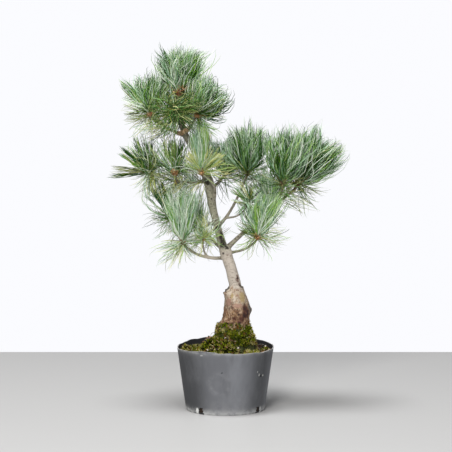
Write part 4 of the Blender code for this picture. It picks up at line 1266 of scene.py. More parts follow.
OLD_ON_LIMBS = (  # mass, limb, and the stretch of the limb on which its old needles still sit
    ("apex_top", "trunk", 0.84, 1.0), ("apex_left", "top_left", 0.35, 1.0),
    ("apex_right", "top_right", 0.35, 1.0), ("apex_front", "top_front", 0.4, 1.0),
    ("apex_back", "top_back", 0.4, 1.0), ("mid_left_out", "mid_left", 0.50, 1.0),
    ("mid_left_in", "mid_left_up", 0.2, 1.0), ("mid_left_in", "mid_left", 0.15, 0.70),
    ("mid_left_in", "mid_left", 0.10, 0.55), ("centre", "mid_left", 0.05, 0.40),
    ("left", "left", 0.55, 1.0), ("right_out", "right", 0.8, 1.0),
    ("centre_back", "centre_back", 0.6, 1.0), ("right_back", "right_back", 0.7, 1.0),
    ("low_back", "low_back", 0.7, 1.0), ("mid_right", "mid_right", 0.8, 1.0),
    ("right_up", "right_up", 0.4, 1.0),
)
OLD_PER_MM = 0.9
SIDE_BUD_BARED = 0.0032


def unit(rows):
    return rows / np.maximum(np.linalg.norm(rows, axis=1), 1e-12)[:, None]


def five(place, aim, shoot, length, old=False, skip=0.001, weight=1.0, kind=-1, loose=1.0):
    """Where a five sits and points, its shoot's direction, and how it is told from others."""
    return {"place": place, "aim": aim, "shoot": shoot, "length": length, "old": old,
            "skip": skip, "weight": weight, "kind": kind, "loose": loose}


def new_fives(mass, habit, rng):
    """The fives of this year's shoots, which wander and gather with their neighbours."""
    _, _, whorl, axis, shoots = GROWTH[mass.name]
    foot, end, scatter = (math.radians(v) for v in (habit.foot, habit.tip, habit.scatter))
    shift = Vector(rng.uniform(-50, 50, 3))
    fives = []
    for way, length in shoots:
        count = habit.fives + int(length * 1000 * habit.dense)
        spin = rng.uniform(0, 2 * math.pi)
        for i in range(count):
            t = (i + 0.5) / count
            place = whorl + way * length * (FIVES_FROM + (1 - FIVES_FROM) * t)
            lean = foot + (end - foot) * t**LEAN_POWER + rng.normal() * scatter
            aim = leaning(way, lean, spin + i * GOLDEN_ANGLE + rng.uniform(-0.4, 0.4))
            wander = noise.noise_vector((aim + place * 12) * FLOW_SIZE + shift)
            pull = Vector((habit.sway, 0, habit.lift))
            aim = (aim + wander * habit.flow + pull).normalized()
            reach = 1 + 0.10 * noise.noise((aim + place * 8) * 4 + shift)
            reach *= habit.long * (1 + habit.level * (min(0.93 / max(aim.z, 0.5), 1.2) - 1))
            fives.append(five(place, aim, way, mass.needle * rng.uniform(*LENGTHS) * reach,
                              weight=math.sqrt(abs(lean) / foot)))
    for *aim, count, spread, share, bent, kind in BUNDLES.get(mass.name, ()):
        aim, kind = Vector(aim).normalized(), KIND_NAMES.index(kind) if kind else -1
        for _ in range(count):
            off = Vector(rng.normal(size=3)) * math.tan(math.radians(spread)) * 0.6
            length = mass.needle * share * rng.uniform(*BUNDLE_LENGTHS)
            place = whorl + axis * rng.uniform(*BUNDLE_FEET)
            fives.append(five(place, (aim + off).normalized(), aim, length * habit.long,
                              weight=bent, kind=kind, loose=BUNDLE_LOOSE))
    return fives


def old_fives(mass, habit, rng):
    """Fives of older needles round the foot of the whorl, and along the limb behind it."""
    _, _, whorl, axis, _ = GROWTH[mass.name]
    fives = []
    leans = np.radians(OLD_LEANS_OF.get(mass.name, OLD_LEANS))
    for i in range(mass.skirt * habit.old):
        aim = leaning(axis, rng.uniform(*leans), i * GOLDEN_ANGLE + rng.uniform(-0.5, 0.5))
        place = whorl + axis * rng.uniform(-0.002, 0.003) + aim * 0.0008
        fives.append(five(place, aim, axis, mass.needle * rng.uniform(*OLD_LENGTHS), True))
    for name, limb, first, last in OLD_ON_LIMBS:
        if name != mass.name:
            continue
        line, radius = LINES[limb], LINES[limb][-1][1]
        ends = point_along(line, first), point_along(line, min(last, 0.9999))
        count = int((ends[1] - ends[0]).length * 1000 * OLD_PER_MM)
        for i in range(count):
            t = min(first + (last - first) * (i + 0.5) / count, 0.999)
            here, past = point_along(line, t), point_along(line, min(t + 0.02, 0.9999))
            along = (past - here).normalized()
            out = leaning(along, math.pi / 2, i * GOLDEN_ANGLE + rng.uniform(-0.3, 0.3))
            aim = (out * 1.2 + along * rng.uniform(0.1, 1.1)).normalized()
            length = mass.needle * rng.uniform(*OLD_LENGTHS) * 0.9
            fives.append(five(here + out * radius, aim, along, length, True, 0.3 * length))
    return fives


KIND_NAMES = [kind[0] for kind in NEEDLE_KINDS]
BARED = [(GROWTH[name][2], radius) for name, radius in SHOWN_BUDS.items()]
BARED += [(point_along(LINES[limb], share), radius * 1.15)
          for limb, share, radius, _ in OLD_WHORLS]
BARED += [(on_shoot(*bud), SIDE_BUD_BARED) for bud in SIDE_BUDS]
print("habits:", 1 + len(HABITS), "bared buds:", len(BARED))

# %% needles


def repeated(faces, count, points_each):
    """The faces of a row of equal small meshes."""
    starts = np.arange(count) * points_each
    return (np.array(faces)[None] + starts[:, None, None]).reshape(-1, 3)


def needle_mesh(foot, way, length, bend, wave, sag, outer, width):
    """Points and triangles of rows of needles, and which faces are outer ones."""
    count = len(foot)
    rows = []
    for s, size in zip(RINGS, RING_SIZES):
        centre = foot + way * (length * s)[:, None] + bend * (4 * s * (1 - s)) + sag * s**2 \
            + wave * (CREST * s * (1 - s) * (1 - 2 * s))
        tangent = unit(way * length[:, None] + bend * (4 - 8 * s) + sag * 2 * s
                       + wave * CREST * (1 - 6 * s + 6 * s**2))
        out = unit(outer - tangent * (outer * tangent).sum(1)[:, None])
        side = np.cross(tangent, out) * (width * size / 2)[:, None]
        deep = out * (width * size * NEEDLE_DEPTH)[:, None]
        rows += [centre + deep * 0.35 + side, centre + deep * 0.35 - side, centre - deep * 0.65]
    rows.append(foot + way * length[:, None] + sag)
    points = np.stack(rows, axis=1).reshape(-1, 3)
    faces, outers, tip = [(0, 1, 2)], [False], len(RINGS) * 3
    for low in range(0, tip, 3):
        for a, b, is_outer in ((1, 0, True), (0, 2, False), (2, 1, False)):
            if low + 3 < tip:
                faces += [(low + a, low + b, low + 3 + b), (low + a, low + 3 + b, low + 3 + a)]
                outers += [is_outer, is_outer]
            else:
                faces.append((low + a, low + b, tip))
                outers.append(is_outer)
    return points, repeated(faces, count, tip + 1), np.tile(outers, count)


def hiding_buds(points):
    """Which needles, each a row of points, would hide bared buds from the front."""
    hiding = np.zeros(len(points), bool)
    for spot, radius in BARED:
        off = points - np.array(spot)
        before = (off[..., 1] < 0.0005) & (np.linalg.norm(off, axis=-1) > radius * 1.5)
        hiding |= (before & (np.hypot(off[..., 0], off[..., 2]) < radius)).any(1)
    return hiding


def deal_kinds(mass, old, given, rng):
    """A colour for each needle: its five's own, or another of the mass's mix."""
    mixes = (MIXES.get(mass.name, NEW_MIX), OLD_MIXES.get(mass.name, OLD_MIX))
    mixes = np.array(mixes) / 100
    mixes = mixes / mixes.sum(1)[:, None]
    shared = np.array([rng.choice(len(NEEDLE_KINDS), p=mixes[int(is_old)]) for is_old in old])
    shared = np.repeat(np.where(given < 0, shared, given), NEEDLES_IN_FIVE)
    own = np.array([rng.choice(len(NEEDLE_KINDS), p=mixes[int(is_old)])
                    for is_old in np.repeat(old, NEEDLES_IN_FIVE)])
    own_share = np.repeat(np.where(given < 0, OWN_KIND, OWN_KIND / 2), NEEDLES_IN_FIVE)
    return np.where(rng.uniform(size=len(own)) < own_share, own, shared)


def grow_needles(mass, number):
    """All needles of a mass: five from each place, bent together and a little each its own way."""
    rng = np.random.default_rng([SEED, number])
    habit = HABITS.get(mass.name, Habit())
    fives = new_fives(mass, habit, rng) + old_fives(mass, habit, rng)

    def column(key):
        return np.array([f[key] for f in fives])

    def each(rows):
        return np.repeat(rows, NEEDLES_IN_FIVE, axis=0)

    aims, shoots, old = column("aim"), column("shoot"), column("old")
    away = unit(aims - shoots * (aims * shoots).sum(1)[:, None])
    bends = np.where(old, rng.uniform(*OLD_BEND, len(fives)),
                     rng.uniform(*habit.bend, len(fives)) * column("weight"))
    wild = np.where(old, WILD[1], WILD[0])[:, None]
    bend = unit(away + wild * rng.normal(size=away.shape)) * bends[:, None]

    place, aim, shoot, bend = each(column("place")), each(aims), each(shoots), each(bend)
    is_old = each(old)
    count = len(place)
    length = each(column("length")) * rng.uniform(*PARTING, count)
    out = unit(np.cross(aim, rng.normal(size=aim.shape)))
    loose = each(column("loose"))
    spread = np.where(is_old, OLD_SPREAD, habit.spread) * rng.normal(size=count)
    spread = np.radians(spread) * loose
    way = unit(aim + out * np.tan(np.clip(spread, -WIDEST_SPREAD, WIDEST_SPREAD))[:, None])
    room = SPACES[mass.name]
    give = rng.uniform(*habit.give, count)[:, None] + np.where(loose < 1, BUNDLE_GIVE, 0)[:, None]
    short = room.rooms(place, way, length, give) < length * 0.9
    way[short] = unit(way[short] + shoot[short] * TURN_IN)
    free = room.rooms(place, way, length, give)
    skip = each(column("skip"))[:, None]
    gaps = LIMBS.gaps(place + way * skip, place + way * free[:, None])
    keep = (free >= length * SHORTEST_SHARE) & (gaps > LIMB_MARGIN)
    curl = (np.where(is_old, OLD_CURL, habit.curl) * loose)[:, None] * rng.normal(size=bend.shape)
    bend = (bend + np.clip(curl, -WIDEST_CURL, WIDEST_CURL)) * free[:, None]
    wave = np.where(is_old, OLD_WAVE, habit.wave)[:, None] * rng.normal(size=bend.shape)
    wave = wave * free[:, None]
    fall = np.where(is_old, rng.uniform(*OLD_SAG, count), 0) * free
    sag = np.stack([np.zeros(count), np.zeros(count), -fall], axis=1)
    width = np.where(is_old, OLD_WIDTH, NEEDLE_WIDTH) * rng.uniform(0.85, 1.12, count)
    kind = deal_kinds(mass, old, column("kind"), rng)
    s = np.linspace(0, 1, 26)[None, :, None]
    keep &= ~hiding_buds(place[:, None] + (way * free[:, None])[:, None] * s
                         + bend[:, None] * 4 * s * (1 - s) + sag[:, None] * s**2)
    points, faces, outers = needle_mesh(
        place[keep], way[keep], free[keep], bend[keep], wave[keep], sag[keep], out[keep],
        width[keep])
    kinds = np.repeat(kind[keep] * 2, len(outers) // keep.sum()) + np.where(outers, 0, 1)
    piece = joined(f"tuft_{mass.name}", points, faces, NEEDLE_MATERIALS, kinds, sharp=50)
    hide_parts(f"needles_{mass.name}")
    return keep.sum(), len(faces)


grown = [grow_needles(mass, number) for number, mass in enumerate(MASSES)]
print("needles:", sum(g[0] for g in grown), "triangles:", sum(g[1] for g in grown),
      "largest piece:", max(g[1] for g in grown))

# %% [markdown]
# ## Pot
# A thin round plastic pot whose top was cut off with scissors: the rim wanders a little, runs
# higher at the back and is pale where the blade went through. The wall is dull grey with dust in
# soft upright streaks, a smudged ring, a few scuffs and a puncture, and at the foot there are
# torn drain slots. The broad band of dust at the front also paints a sheen, and the darker wall
# between the bands is painted shade at the sides. A plain cone would look like a toy, so the wall
# is turned with many steps, given slight dents, and cut at the rim by its own uneven line. The
# slots go right through: both shells leave out the same faces, and the edges left open are
# joined across the wall.

# %% pot
POT_RIM_RADIUS = 0.0609
POT_BASE_RADIUS = 0.0500
POT_HEIGHT = 0.0785
POT_WALL = 0.0012
POT_FLOOR = 0.0016
POT_SLOPE = (POT_RIM_RADIUS - POT_BASE_RADIUS) / POT_HEIGHT
RIM_BACK_RISE = 0.0055
POT_SEGMENTS = 360
POT_ROWS = 78
SLOT_FIRST_ANGLE = math.radians(-37)
SLOT_COUNT = 4
SLOT_HALF_WIDTH = 0.0038
SLOT_TOP = 0.0080
FOOT_CURVE = 0.0016
FOOT_TUCK = 0.0007  # how far the wall's foot turns in
DENT_DEPTH = 0.00055
RIM_WAVE = (0.0004, 0.00022)  # three and eleven waves round the rim
SNIP_DEPTH = 0.00060
STEP_RISE = 0.0018  # where the two ends of the cut miss each other
MARKS = {  # on the wall: angle in degrees, height, half width, half height
    "scuff": ((-42.5, 0.0492, 0.0007, 0.0020), (-35.0, 0.0480, 0.0013, 0.0010),
              (-45.5, 0.0530, 0.0005, 0.0009), (60, 0.0400, 0.0018, 0.0008),
              (150, 0.0300, 0.0010, 0.0020), (-120, 0.0757, 0.0022, 0.0004)),
    "torn": ((-134.0, 0.0040, 0.0024, 0.0036), (-31.5, 0.0050, 0.0008, 0.0026)),
    "hole": ((-38.5, 0.0478, 0.0019, 0.0015), (-94, 0.0547, 0.0007, 0.0007),
             (110, 0.0500, 0.0011, 0.0010)),
}
# Upright bands of dust; the one at the front is also a painted sheen, and the darker wall between
# the bands is painted shade at the sides.
DUST_AND_SHEEN_BANDS = ((-87, 35), (5, 30), (88, 34), (168, 20))  # angle and half width in degrees
RING_MARK = (-98, 0.0400, 0.0120, 0.0035)  # the smudged ring: angle, height, radius, width
RING_MARK_OPEN = math.radians(35)


def turn_from(other, angle):
    """How far an angle is turned from another, up to half a turn either way."""
    return (angle - other + math.pi) % (2 * math.pi) - math.pi


def rim_height(angle):
    """The cut's height: the model's slope, with small steps where the scissors paused."""
    y = math.sin(angle)
    wave = RIM_WAVE[0] * math.sin(3 * angle + 0.7) + RIM_WAVE[1] * math.sin(11 * angle)
    snip = SNIP_DEPTH * noise.noise(Vector((math.cos(angle) * 6, math.sin(angle) * 6, 3.1)))
    turn = math.degrees(math.atan2(y, math.cos(angle)))
    step = STEP_RISE * smooth_step(-99, -104, turn) * smooth_step(-165, -125, turn)
    return POT_HEIGHT + RIM_BACK_RISE * ((1 + y) / 2) ** 3 + wave + snip + step


def dent(angle, z):
    place = Vector((math.cos(angle) * 1.3, math.sin(angle) * 1.3, z * 14))
    return DENT_DEPTH * noise.noise(place) * min(z / 0.02, 1)


def in_slot(angle, z):
    if z > SLOT_TOP:
        return False
    for k in range(SLOT_COUNT):
        apart = turn_from(SLOT_FIRST_ANGLE + 2 * math.pi * k / SLOT_COUNT, angle)
        torn = 0.0007 * math.sin(z * 1900 + k) + 0.0005 * noise.noise(Vector((k, z * 900, 0)))
        if abs(apart * POT_BASE_RADIUS + torn) < SLOT_HALF_WIDTH * (1.05 - 0.35 * z / SLOT_TOP):
            return True
    return False


def pot_points():
    """The grid of the outer wall, then that of the inner one."""
    points = []
    for shell in (0, 1):
        for row in range(POT_ROWS + 1):
            for angle in turns(POT_SEGMENTS):
                top, low = rim_height(angle), POT_FLOOR * shell
                z = low + (top - low) * row / POT_ROWS
                r = POT_BASE_RADIUS + POT_SLOPE * z + dent(angle, z) - POT_WALL * shell
                if shell == 0:
                    r -= FOOT_TUCK * max(1 - z / FOOT_CURVE, 0) ** 2
                points.append((r * math.cos(angle), r * math.sin(angle), z))
    return points


def make_pot():
    """Points, faces and kinds (wall, inside, cut edge) of the whole pot."""
    points, faces, kinds = pot_points(), [], []
    shell_size = (POT_ROWS + 1) * POT_SEGMENTS
    open_cells = {
        (row, i) for row in range(POT_ROWS // 8) for i in range(POT_SEGMENTS)
        if in_slot(2 * math.pi * (i + 0.5) / POT_SEGMENTS, (row + 0.5) * POT_HEIGHT / POT_ROWS)}
    for row in range(POT_ROWS):
        for i, (a, b) in enumerate(around(row * POT_SEGMENTS, POT_SEGMENTS)):
            c, d = b + POT_SEGMENTS, a + POT_SEGMENTS
            if (row, i) not in open_cells:
                faces += [(a, b, c, d), tuple(shell_size + k for k in (d, c, b, a))]
                kinds += [0, 1]
                continue
            sides = (((row - 1, i), b, a), ((row + 1, i), d, c),
                     ((row, (i - 1) % POT_SEGMENTS), a, d),
                     ((row, (i + 1) % POT_SEGMENTS), c, b))
            for cell, p, q in sides:
                if cell not in open_cells:
                    faces.append((p, q, shell_size + q, shell_size + p))
                    kinds.append(2 if cell[0] > row else 1)
    for a, b in around(POT_ROWS * POT_SEGMENTS, POT_SEGMENTS):
        faces.append((a, b, shell_size + b, shell_size + a))
        kinds.append(2)
    for shell, z in ((0, 0.0), (1, POT_FLOOR)):
        points.append((0, 0, z))
        hub = len(points) - 1
        for a, b in around(shell * shell_size, POT_SEGMENTS):
            faces.append((b, a, hub) if shell == 0 else (a, b, hub))
            kinds.append(shell)
    return points, faces, kinds


def mark_pot(mesh):
    """Keeps where the marks and the dust on the wall lie; the upright bands of dust also paint a
    sheen at the front and shade between them.
    """
    points = mesh_rows(mesh, "co")
    angle, z = np.arctan2(points[:, 1], points[:, 0]), points[:, 2]
    warp = noise_at(points, 600, noise.noise_vector) * 0.0007
    values = {}
    for name, marks in MARKS.items():
        most = np.zeros(len(points))
        for at, height, width, tall in marks:
            across = turn_from(math.radians(at), angle) * POT_BASE_RADIUS * 1.1 + warp[:, 0]
            off = np.sqrt((across / width) ** 2 + ((z - height + warp[:, 1]) / tall) ** 2)
            most = np.maximum(most, smooth_step(1.2, 0.75, off))
        values[name] = most
    at, height, radius, wide = RING_MARK
    across = turn_from(math.radians(at), angle) * POT_BASE_RADIUS * 1.1
    off = np.hypot(across, z - height)
    turn = np.arctan2(z - height, across)
    ring = np.exp(-((off - radius) / wide) ** 2) * smooth_step(0, RING_MARK_OPEN, np.abs(turn))
    values["smudge"] = np.maximum(ring, 0.4 * np.exp(-(off / radius) ** 2))
    values["dusty_band"] = np.zeros(len(points))
    for at, wide in DUST_AND_SHEEN_BANDS:
        apart = turn_from(math.radians(at), angle)
        band = np.exp(-((apart + 8 * warp[:, 0]) / math.radians(wide)) ** 4)
        values["dusty_band"] = np.maximum(values["dusty_band"], band)
    foot = 1.3 * np.exp(-(z / 0.0052) ** 2) * (0.85 + 0.35 * np.sin(angle * 2 + 1.2))
    foot += 0.16 * np.exp(-(z / 0.0180) ** 2) * values["dusty_band"]
    values["dusty_foot"] = np.clip(foot + 0.6 * np.exp(-np.abs(z - POT_HEIGHT) / 0.0016), 0, 1)
    keep_values(mesh, values)


def pot_material():
    plastic = plain_material("pot_wall", (0.165, 0.17, 0.183), 0.62, Specular_IOR_Level=0.12)
    base = add_blotches(plastic, (0.150, 0.154, 0.168), (0.205, 0.212, 0.230), 24, 0.72, 0.3,
                           (1, 1, 0.35))
    streaks = add_blotches(plastic, base, (0.120, 0.123, 0.134), 60, 0.36, 0.28, (1, 1, 0.25))
    # The wall between the dusty bands: darker plastic without dust, and painted shade at the sides.
    clean_and_shaded = add_blotches(plastic, (0.070, 0.072, 0.077), (0.108, 0.111, 0.119), 34, 0.55, 0.3,
                            (1, 1, 0.45))
    streaks = mix_colour(plastic, "dusty_band", clean_and_shaded, streaks)
    dusted = add_blotches(plastic, streaks, (0.50, 0.505, 0.50), 130, 1.25, 0.5)
    colour = mix_colour(plastic, "dusty_foot", streaks, dusted)
    dusted = add_blotches(plastic, colour, (0.235, 0.24, 0.255), 90, 0.9, 0.6)
    colour = mix_colour(plastic, "smudge", colour, dusted)
    colour = mix_colour(plastic, "scuff", colour, (0.50, 0.50, 0.48))
    colour = mix_colour(plastic, "torn", colour, (0.76, 0.77, 0.75))
    colour = mix_colour(plastic, "hole", colour, (0.012, 0.012, 0.013))
    set_colour(plastic, colour)
    add_relief(plastic, 900, 0.00010, coarse=0.6)
    return plastic


POT_WALL_MATERIAL = pot_material()
POT_INSIDE = plain_material("pot_inside", (0.030, 0.030, 0.033), 0.6)
add_relief(POT_INSIDE, 700, 0.0002)
POT_EDGE = plain_material("pot_cut_edge", (0.60, 0.58, 0.58), 0.6)
add_relief(POT_EDGE, 1200, 0.0003)
points_of_pot, faces_of_pot, kinds_of_pot = make_pot()
pot = joined("nursery_pot", points_of_pot, faces_of_pot, (POT_WALL_MATERIAL, POT_INSIDE, POT_EDGE),
             kinds_of_pot)
mark_pot(pot.data)
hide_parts("pot")
print("pot faces:", len(faces_of_pot))

# %% [markdown]
# ## Soil and litter
# Under the moss the pot is full of a gritty mix. A flat disc would show as one, so its top is
# heaped in small lumps, higher at the left and at the right behind the trunk. Grains, crumbs of
# bark and dry needles lie loose on it.

# %% soil
SOIL_TOP = 0.0690
SOIL_LUMP = 0.0016
SOIL_GRIT = 0.0008
SOIL_HEAP = 0.0021  # how far the crumbs stand over the model's soil everywhere
HEAPS = (  # x, y, half width, height
    (-0.0330, 0.0020, 0.0190, 0.0058), (0.0360, 0.0180, 0.0150, 0.0062),
    (0.0300, -0.0260, 0.0140, 0.0040), (-0.0180, -0.0380, 0.0160, 0.0035),
)
SOIL_RINGS = 60
SOIL_SIDES = 150
WALL_REACH = 0.009  # where the heaps run out towards the wall
SCATTER_HALF = 0.058
WALL_MARGIN = 0.0016
GRAINS = 1500
GRAIN_SIZE = (0.0009, 0.0034)
GRAIN_SHARES = (0.52, 0.33, 0.12, 0.03)  # of dark, brown, tan and pale ones


def inner_radius(z):
    return POT_BASE_RADIUS - POT_WALL + POT_SLOPE * (z - POT_FLOOR)


def soil_height(x, y):
    p = Vector((x, y, 0))
    heap = sum(rise * math.exp(-((x - hx) ** 2 + (y - hy) ** 2) / wide**2)
               for hx, hy, wide, rise in HEAPS)
    wall = inner_radius(SOIL_TOP)
    near_wall = smooth_step(wall - WALL_REACH, wall, math.hypot(x, y))
    return SOIL_TOP + SOIL_HEAP + heap * (1 - 0.45 * near_wall) \
        + SOIL_LUMP * noise.fractal(p * 60, 1.0, 2.0, 3) + SOIL_GRIT * noise.noise(p * 420)


def make_soil():
    """The plug of soil with a lumpy top."""
    rings, sides = SOIL_RINGS, SOIL_SIDES
    points = [(0, 0, soil_height(0, 0))]
    for ring in range(1, rings + 1):
        for angle in turns(sides):
            r = (inner_radius(SOIL_TOP) - GAP) * ring / rings
            x, y = r * math.cos(angle), r * math.sin(angle)
            points.append((x, y, soil_height(x, y)))
    faces = [(0, a, b) for a, b in around(1, sides)]
    for ring in range(rings - 1):
        for a, b in around(1 + ring * sides, sides):
            faces += [(a, a + sides, b + sides), (a, b + sides, b)]
    foot = len(points)
    low = POT_FLOOR + GAP
    for angle in turns(sides):
        r = inner_radius(low) - GAP
        points.append((r * math.cos(angle), r * math.sin(angle), low))
    top = 1 + (rings - 1) * sides
    for (a, b), (c, d) in zip(around(top, sides), around(foot, sides)):
        faces += [(a, c, d), (a, d, b)]
    points.append((0, 0, low))
    faces += [(b, a, len(points) - 1) for a, b in around(foot, sides)]
    return points, faces


ICO = (1 + 5**0.5) / 2
GRAIN_POINTS = np.array([(-1, ICO, 0), (1, ICO, 0), (-1, -ICO, 0), (1, -ICO, 0), (0, -1, ICO),
                         (0, 1, ICO), (0, -1, -ICO), (0, 1, -ICO), (ICO, 0, -1), (ICO, 0, 1),
                         (-ICO, 0, -1), (-ICO, 0, 1)]) / 1.9
GRAIN_FACES = np.array([(0, 11, 5), (0, 5, 1), (0, 1, 7), (0, 7, 10), (0, 10, 11), (1, 5, 9),
                        (5, 11, 4), (11, 10, 2), (10, 7, 6), (7, 1, 8), (3, 9, 4), (3, 4, 2),
                        (3, 2, 6), (3, 6, 8), (3, 8, 9), (4, 9, 5), (2, 4, 11), (6, 2, 10),
                        (8, 6, 7), (9, 8, 1)])


def tumbled(shape, rng):
    """A shape's points, turned some way at random."""
    turn = Matrix.Rotation(rng.uniform(0, 6.28), 3, Vector(rng.normal(size=3)))
    return shape @ np.array(turn).T


def spot_in_pot(rng):
    while True:
        x, y = rng.uniform(-SCATTER_HALF, SCATTER_HALF, 2)
        if math.hypot(x, y) < inner_radius(SOIL_TOP) - WALL_MARGIN:
            return x, y


def scatter_grains():
    rng = np.random.default_rng(SEED + 2)
    parts, kinds = [], []
    for _ in range(GRAINS):
        x, y = spot_in_pot(rng)
        size = rng.uniform(*GRAIN_SIZE) * rng.uniform(0.5, 1)
        shape = GRAIN_POINTS * rng.uniform(0.55, 1.25, (12, 1)) * (size / 2)
        shape = shape * rng.uniform(0.6, 1.3, 3)
        shape = tumbled(shape, rng)
        place = (x, y, soil_height(x, y) + size * rng.uniform(0.0, 0.45))
        parts.append((shape + place, GRAIN_FACES))
        kinds += [rng.choice(4, p=GRAIN_SHARES)] * len(GRAIN_FACES)
    return (*merged(parts), kinds)


SOIL_DARK = plain_material("soil_dark", (0.05, 0.035, 0.022), 0.95)
set_colour(SOIL_DARK, add_blotches(
    SOIL_DARK, (0.022, 0.014, 0.009), (0.075, 0.048, 0.030), 500, 0.6, 0.2))
add_relief(SOIL_DARK, 1300, 0.0005)
GRAIN_COLOURS = material_kinds("grain", (
    ("dark", 0.030, 0.018, 0.012, 0.9), ("brown", 0.15, 0.070, 0.036, 0.9),
    ("tan", 0.34, 0.20, 0.12, 0.9), ("pale", 0.58, 0.52, 0.44, 0.9),
), 1700, 0.0003)
soil_points, soil_faces = make_soil()
soil = joined("potting_soil", soil_points, soil_faces, [SOIL_DARK], sharp=60)
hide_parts("soil")
grain_points, grain_faces, grain_kinds = scatter_grains()
joined("soil_grains", grain_points, grain_faces, GRAIN_COLOURS, grain_kinds, 20)
print("soil faces:", len(soil_faces), "grains:", len(grain_faces))

# %% [markdown]
# ## Moss
# A cushion of moss fills the pot's middle and climbs the foot of the rootstock, and a clump sits
# at the rim on each side. Seen close, moss is thousands of tiny upright sprigs with pointed
# leaves. It grows in clumps a few millimetres wide, each of its own green, yellow, pale or brown,
# with dark gaps between. A bumpy mound alone looks like dough, and sprigs alone show the soil,
# so there are both: a cushion creased between its clumps, and sprigs thick on top of each clump.
# The cushion is nearly black, for the old moss under the sprigs and as painted shade in the gaps,
# and sprigs low in the creases are dealt dark or brown, also as painted shade.

# %% moss clumps
MOSS_MOUND = (-0.0020, -0.0040, 0.0365, 0.0400, 0.0285)  # x, y, half width, half depth, height
MOSS_CLUMPS = {
    "moss_left": (-0.0485, -0.0030, 0.0085, 0.0120, 0.0130),
    "moss_right": (0.0512, 0.0020, 0.0058, 0.0120, 0.0110),
}
MOSS_SINK = 0.0012
MOSS_FOOT = SOIL_TOP + GAP
CLUMP_SIZE = 0.0062
CLUMP_RISE = 0.0034
CLUMP_WANDER = 0.0016
CREASE = 0.0026
CUSHION_MESH = (0.0008, 0.0010)  # its faces' size down the slope and round
HOLLOW = 2.2  # how hollow a cushion's slope is; 1 is a dome
DRY_FOOT = 0.30  # how much drier a cushion's foot is
DRY_UP_TO = 0.012
DRY_SIDES = (0.012, 0.045)  # x of the moist middle, and the half width to its dry sides
# Sprigs low in the creases are dealt dark or brown as painted shade.
SHADED_BELOW = 0.35  # sprigs lower in a crease than this may be dark or brown
SHADED_SHARE = 0.4
SPRIG_SPACING = 0.00145
LEAVES_PER_SPRIG = 6
LEAF_LENGTH = (0.0016, 0.0044)
LEAF_WIDTH = 0.00080
LEAF_LEAN = (0.12, 1.15)
BARK_SPRIGS = 1600
BARK_SPRIGS_FROM = 0.082
SOIL_SPRIGS = 1700
MOSS_MIXES = {  # shares of yellow, bright, green, dark, brown and pale in a kind of clump
    "lively": (0.22, 0.48, 0.20, 0.06, 0.02, 0.02),
    "green": (0.05, 0.26, 0.46, 0.18, 0.03, 0.02),
    "brown": (0.09, 0.07, 0.12, 0.17, 0.42, 0.13),
    "pale": (0.24, 0.12, 0.08, 0.04, 0.14, 0.38),
}
MOSS_KINDS = (("lively", 0.30), ("green", 0.62), ("brown", 0.83), ("pale", 1.0))


def clump_at(place):
    """How high a place stands in its clump, from 0 in a crease to 1, and the clump's number."""
    p = Vector(place)
    q = (p + noise.noise_vector(p * 240) * CLUMP_WANDER) / CLUMP_SIZE
    near, cells = noise.voronoi(q)
    return min((near[1] - near[0]) * 1.5, 1), noise.cell(cells[0] * 5.1)


def cushion(place):
    """A lumpy cushion over the model's, as points and triangles."""
    x, y, width, depth, height = place
    rings = max(12, int(width / CUSHION_MESH[0]))
    sides = max(36, int(2 * math.pi * width / CUSHION_MESH[1]))
    points, faces = [], []
    for ring in range(rings + 1):
        lean = math.pi / 2 * ring / rings * 1.02
        for angle in turns(sides):
            out = Vector((math.sin(lean) * math.cos(angle), math.sin(lean) * math.sin(angle),
                          max(math.cos(lean), 0) ** HOLLOW))
            p = Vector((out.x * width, out.y * depth, out.z * height))
            q = p + Vector((x, y, 0))
            rise, level = clump_at(q)
            p += out * (CLUMP_RISE * (rise**0.7 * (0.45 + 0.55 * level)) - CREASE * (1 - rise))
            points.append(tuple(p + Vector((x, y, MOSS_FOOT - MOSS_SINK))))
    for ring in range(rings):
        for a, b in around(ring * sides, sides):
            faces.append((a if ring else 0, a + sides, b + sides))
            if ring:
                faces.append((a, b + sides, b))
    return np.array(points), np.array(faces)


def plant_sprigs(name, places, normals, rng, kinds_at, size=1.0):
    """A piece with a little star of leaves, four triangles each, at each place."""
    count = len(places) * LEAVES_PER_SPRIG
    foot = places.repeat(LEAVES_PER_SPRIG, axis=0)
    up = unit(normals + rng.normal(scale=0.22, size=normals.shape))
    up = up.repeat(LEAVES_PER_SPRIG, axis=0)
    side = unit(np.cross(up, rng.normal(size=(count, 3))))
    lean = rng.uniform(*LEAF_LEAN, count)
    way = up * np.cos(lean)[:, None] + side * np.sin(lean)[:, None]
    across = unit(np.cross(way, up))
    length = rng.uniform(*LEAF_LENGTH, count) * size
    half = across * (LEAF_WIDTH / 2 * rng.uniform(0.8, 1.3, count))[:, None]
    middle_point = foot + way * (length * 0.5)[:, None]
    over = np.cross(across, way) * (length * 0.12)[:, None]
    points = np.stack([foot, middle_point + half, middle_point - half,
                       foot + way * length[:, None] + over,
                       middle_point - over * 0.6], axis=1).reshape(-1, 3)
    faces = repeated([(0, 1, 4), (0, 4, 2), (4, 1, 3), (4, 3, 2)], count, 5)
    joined(name, points, faces, MOSS_COLOURS, np.repeat(kinds_at, LEAVES_PER_SPRIG * 4), 60)
    return count


